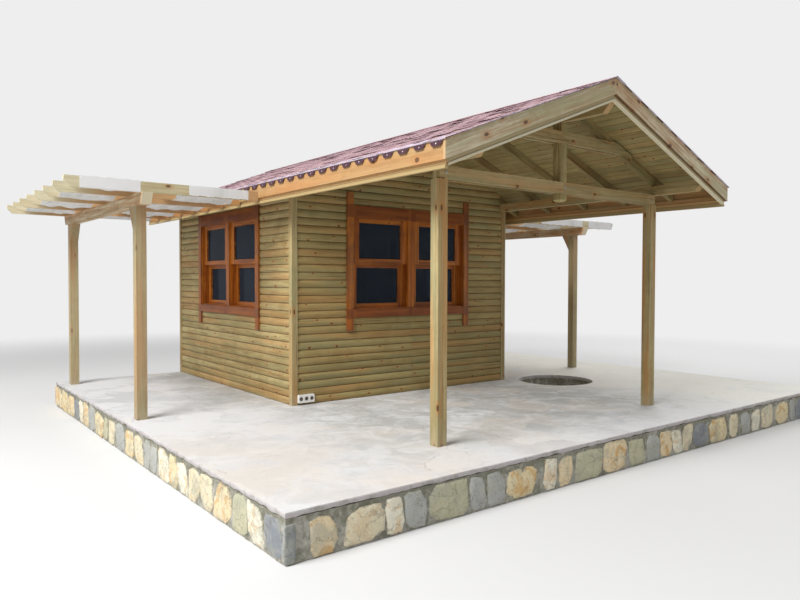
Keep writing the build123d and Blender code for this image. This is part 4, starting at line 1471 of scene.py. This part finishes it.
class BOOTH_OT_outlet(BoothOperator, bpy.types.Operator):
    """Finish the triple socket outlet and set its inserts"""
    bl_idname = "booth.outlet"
    bl_label = "Socket outlet"

    insert_depth = 0.011

    def make(self, booth):
        def moulded(graph):
            position = graph.position()
            scuff = graph.noise(position, 60.0, 3.0)
            dirt = graph.step(graph.noise(position, 18.0, 3.0), 0.5, 0.75)
            shade = graph.mix(dirt * 0.3, srgb(240, 238, 234), srgb(186, 180, 168))
            return shade, scuff, scuff * 0.2 + 0.25

        def dark(graph):
            scuff = graph.noise(graph.position(), 70.0, 3.0)
            return graph.mix(scuff, srgb(96, 92, 88), srgb(132, 128, 122)), scuff, scuff * 0.2 + 0.35

        paint(finish_of("white_plastic", moulded, relief=0.0003), "socket_outlet")
        low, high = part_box("socket_outlet")
        insert = hidden("socket_insert", self.insert())
        inserts = grown("socket_inserts", rows_tree(), {
            "Piece": insert, "Rows": 3, "Columns": 1, "Row Spacing": SOCKET_SPACING, "Column Spacing": 0.0,
            "Stagger": 0.0, "Lean": 0.0, "Curl": 0.0, "Unevenness": 0.0, "Turn": (math.pi / 2, 0.0, 0.0),
            "Place": (low.x + SOCKET_SPACING / 2, low.y, (low.z + high.z) / 2), "Seed": 1,
            "Material": finish_of("socket_plastic", dark, relief=0.0003)})
        piece_from("socket_inserts", inserts)

    def insert(self):
        """The dark lining of one socket: a rim, a wall, and a floor with a raised middle and two collars."""
        outer, floor = SOCKET_RADIUS - 0.0004, -self.insert_depth

        def build(shape):
            skin(shape, lathed((
                (outer, floor - 0.001), (outer, 0.0012), (outer - 0.002, 0.0014), (outer - 0.003, 0.0),
                (outer - 0.0035, floor), (0.004, floor), (0.003, floor + 0.002)), 24))
            for side in (-1, 1):
                skin(shape, lathed((
                    (0.0036, floor), (0.0034, floor + 0.0015), (0.0024, floor + 0.0015), (0.0022, floor)), 8,
                    (side * 0.0095, 0.0)))
        return mesh_of("socket_insert", build)


class BOOTH_OT_fixings(BoothOperator, bpy.types.Operator):
    """Set the bolts of the porch frame and the nails of fascias and barge boards"""
    bl_idname = "booth.fixings"
    bl_label = "Bolts and nails"

    bolt_size = 0.0085
    nail_size = 0.0045
    tie_inset = 0.06
    collar_reach = 0.86
    fascia_columns = 11
    fascia_inset = 0.06
    fascia_falls = (0.06, 0.12)
    barge_reaches = (0.05, 0.55, 1.05, 1.55, 1.95)
    barge_falls = (0.035, 0.115)

    def make(self, booth):
        front, back = (math.pi / 2, 0.0, 0.0), (-math.pi / 2, 0.0, 0.0)
        left, right = (0.0, -math.pi / 2, 0.0), (0.0, math.pi / 2, 0.0)
        bolts = []
        low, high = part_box("tie_boards")
        for y, turn in ((low.y, front), (high.y, back)):
            bolts += [((x, y, (low.z + high.z) / 2), turn)
                      for x in (low.x + self.tie_inset, 0.025, high.x - self.tie_inset)]
        low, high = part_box("collar_boards")
        bolts += [((x, high.y, (low.z + high.z) / 2), back)
                  for x in (-self.collar_reach, 0.0, self.collar_reach)]
        nails = []
        low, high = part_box("fascia_left")
        run = high.y - low.y - 2 * self.fascia_inset
        for number in range(self.fascia_columns):
            y = low.y + self.fascia_inset + run * number / (self.fascia_columns - 1)
            for z in [EAVE_HEIGHT - fall for fall in self.fascia_falls]:
                nails += [((-EAVE_REACH, y, z), left), ((EAVE_REACH, y + 0.013, z), right)]
        for name, pick, turn in (("barge_boards_front", 0, front), ("barge_boards_back", 1, back)):
            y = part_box(name)[pick].y
            for reach in self.barge_reaches:
                roof = APEX_HEIGHT - reach * math.tan(ROOF_PITCH)
                nails += [((side * reach, y, roof - fall), turn)
                          for side in (-1, 1) for fall in self.barge_falls]
        for name, build, places, size in (("bolt_heads", self.bolt_head, bolts, self.bolt_size),
                                          ("nail_heads", self.nail_head, nails, self.nail_size)):
            metal = rusty(name, 120.0, (0.42, 0.68), 0.7, (172, 170, 162), (122, 92, 66), (0.45, 0.35))
            values = {"Piece": hidden("fixing", mesh_of("fixing", build)), "Material": metal}
            mesh = grown(name, points_tree(), values, self.points(places, size))
            piece_from(name, mesh)

    def points(self, places, size):
        """Points that carry each fixing's size and turn."""
        mesh = bpy.data.meshes.new("fixing_points")
        mesh.from_pydata([place for place, _ in places], [], [])
        for name, values in (("size", [(size,) * 3] * len(places)), ("turn", [turn for _, turn in places])):
            attribute = mesh.attributes.new(name, "FLOAT_VECTOR", "POINT")
            attribute.data.foreach_set("vector", [number for value in values for number in value])
        return mesh

    def bolt_head(self, shape):
        """A washer and a hexagonal head, its half width 1."""
        skin(shape, lathed(((1.7, -0.1), (1.7, 0.15), (1.6, 0.22)), 16))
        skin(shape, lathed(((1.1, 0.2), (1.1, 0.85), (0.95, 1.0)), 6))

    def nail_head(self, shape):
        """A low round head, its radius 1."""
        skin(shape, lathed(((1.0, -0.1), (1.0, 0.12), (0.7, 0.3)), 10))


class BOOTH_OT_studio(BoothOperator, bpy.types.Operator):
    """Set the floor, the lights and the camera"""
    bl_idname = "booth.studio"
    bl_label = "Studio"

    # The floor, how far out it fades, the lamps and what they point at
    floor_radius = 90.0
    fade = (6.5, 15.0)
    lamps = (("key", (-11.5, -4.6, 10.5), 8.0), ("fill", (7.5, -9.5, 4.5), 6.0),
             ("side", (10.0, 1.0, 9.0), 8.0))
    lit_point = (0.2, -0.8, 1.0)

    # The camera: where it stands, its turns in degrees to the right of Y, down and round its own axis, and
    # its picture in pixels
    camera_place = (-5.1905, -8.4183, 1.7054)
    camera_turns = (38.7011, 1.4090, 0.1920)
    picture_width = 800
    focal_length = 681.333
    off_centre = (-20.93, -3.25)
    sensor_width = 36.0

    def make(self, booth):
        studio = booth.studio
        scene = bpy.context.scene
        scene.view_settings.view_transform = "Standard"
        self.floor(studio)
        self.world(scene, studio)
        for name, place, size in self.lamps:
            self.lamp(name + "_light", place, size, getattr(studio, name))
        self.camera(scene)

    def seen(self, graph):
        """1 for what the camera sees, also in glass and in metal."""
        path = graph.node("ShaderNodeLightPath").outputs
        return graph.math("MAXIMUM", path["Is Camera Ray"],
                          graph.math("MAXIMUM", path["Is Glossy Ray"], path["Is Transmission Ray"]))

    def floor(self, studio):
        """A pale floor that takes the booth's shadow and fades into the surroundings further out."""
        def build(shape):
            shape.faces.new([shape.verts.new((x, y, -0.002)) for x, y in circle(self.floor_radius, 48)])
        mesh = mesh_of("floor", build)
        floor = placed("floor", mesh)
        material = bpy.data.materials.new("studio_floor")
        graph = cleared(material)
        x, y, _ = graph.parts(graph.position())
        away = graph.math("SQRT", x * x + y * y)
        far = graph.step(away, *self.fade) * self.seen(graph)
        cloud = graph.noise(graph.position(), 0.6, 2.0) * 0.05
        shade = graph.mix(cloud, studio.floor, srgb(200, 200, 200))
        near = graph.node("ShaderNodeBsdfDiffuse", {"Color": shade})
        faded = graph.node("ShaderNodeEmission", {"Color": studio.backdrop, "Strength": 1.0})
        mixed = graph.node("ShaderNodeMixShader", {0: far, 1: near.outputs[0], 2: faded.outputs[0]})
        graph.node("ShaderNodeOutputMaterial", {"Surface": mixed.outputs[0]})
        mesh.materials.append(material)

    def world(self, scene, studio):
        world = bpy.data.worlds.new("studio")
        graph = cleared(world)
        light = graph.node("ShaderNodeBackground", {"Color": (1.0, 1.0, 1.0, 1.0), "Strength": studio.sky})
        back = graph.node("ShaderNodeBackground", {"Color": studio.backdrop, "Strength": 1.0})
        mixed = graph.node("ShaderNodeMixShader",
                           {0: self.seen(graph), 1: light.outputs[0], 2: back.outputs[0]})
        graph.node("ShaderNodeOutputWorld", {"Surface": mixed.outputs[0]})
        scene.world = world

    def lamp(self, name, place, size, power):
        data = bpy.data.lights.new(name, "AREA")
        data.shape = "DISK"
        data.size = size
        data.energy = power
        lamp = placed(name, data)
        lamp.location = place
        lamp.rotation_euler = (Vector(self.lit_point) - Vector(place)).to_track_quat("-Z", "Y").to_euler()

    def camera(self, scene):
        """A camera fitted to the photograph's own viewpoint, for a frame of 800 by 600."""
        yaw, pitch, roll = [math.radians(turn) for turn in self.camera_turns]
        forward = Vector((math.sin(yaw) * math.cos(pitch), math.cos(yaw) * math.cos(pitch), -math.sin(pitch)))
        right = Vector((math.cos(yaw), -math.sin(yaw), 0.0))
        up = right.cross(forward)
        right, up = right * math.cos(roll) + up * math.sin(roll), up * math.cos(roll) - right * math.sin(roll)
        data = bpy.data.cameras.new("camera")
        data.sensor_width = self.sensor_width
        data.lens = self.focal_length / self.picture_width * self.sensor_width
        data.shift_x, data.shift_y = [offset / self.picture_width for offset in self.off_centre]
        data.clip_end = 500.0
        camera = placed("camera", data)
        axes = Matrix((right, up, -forward)).transposed()
        camera.matrix_world = Matrix.Translation(self.camera_place) @ axes.to_4x4()
        scene.camera = camera


class BOOTH_PT_sidebar(bpy.types.Panel):
    """The booth's settings and operators in the sidebar"""
    bl_idname = "BOOTH_PT_sidebar"
    bl_label = "Guard booth"
    bl_space_type = "VIEW_3D"
    bl_region_type = "UI"
    bl_category = "Booth"

    def draw(self, context):
        booth = context.scene.booth
        for group in ("timber", "joinery", "roof", "stone", "canvas", "studio"):
            box = self.layout.box()
            box.label(text=group.title())
            settings = getattr(booth, group)
            for name in settings.__annotations__:
                box.prop(settings, name)
        for operator in operators:
            self.layout.operator(operator.bl_idname)


operators = (
    BOOTH_OT_studio, BOOTH_OT_siding, BOOTH_OT_posts, BOOTH_OT_beams, BOOTH_OT_fascias, BOOTH_OT_soffit,
    BOOTH_OT_windows, BOOTH_OT_door, BOOTH_OT_shingles, BOOTH_OT_plinth, BOOTH_OT_paving, BOOTH_OT_canvas,
    BOOTH_OT_outlet, BOOTH_OT_fixings)
groups = (
    BoothTimber, BoothJoinery, BoothRoof, BoothStone, BoothCanvas, BoothStudio, BoothSettings)
classes = groups + operators + (BOOTH_PT_sidebar,)


def register():
    for kind in classes:
        bpy.utils.register_class(kind)
    bpy.types.Scene.booth = PointerProperty(type=BoothSettings)


def unregister():
    del bpy.types.Scene.booth
    for kind in reversed(classes):
        bpy.utils.unregister_class(kind)


def main():
    register()
    for operator in operators:
        area, name = operator.bl_idname.split(".")
        getattr(getattr(bpy.ops, area), name)()


if __name__ == "__main__":
    main()
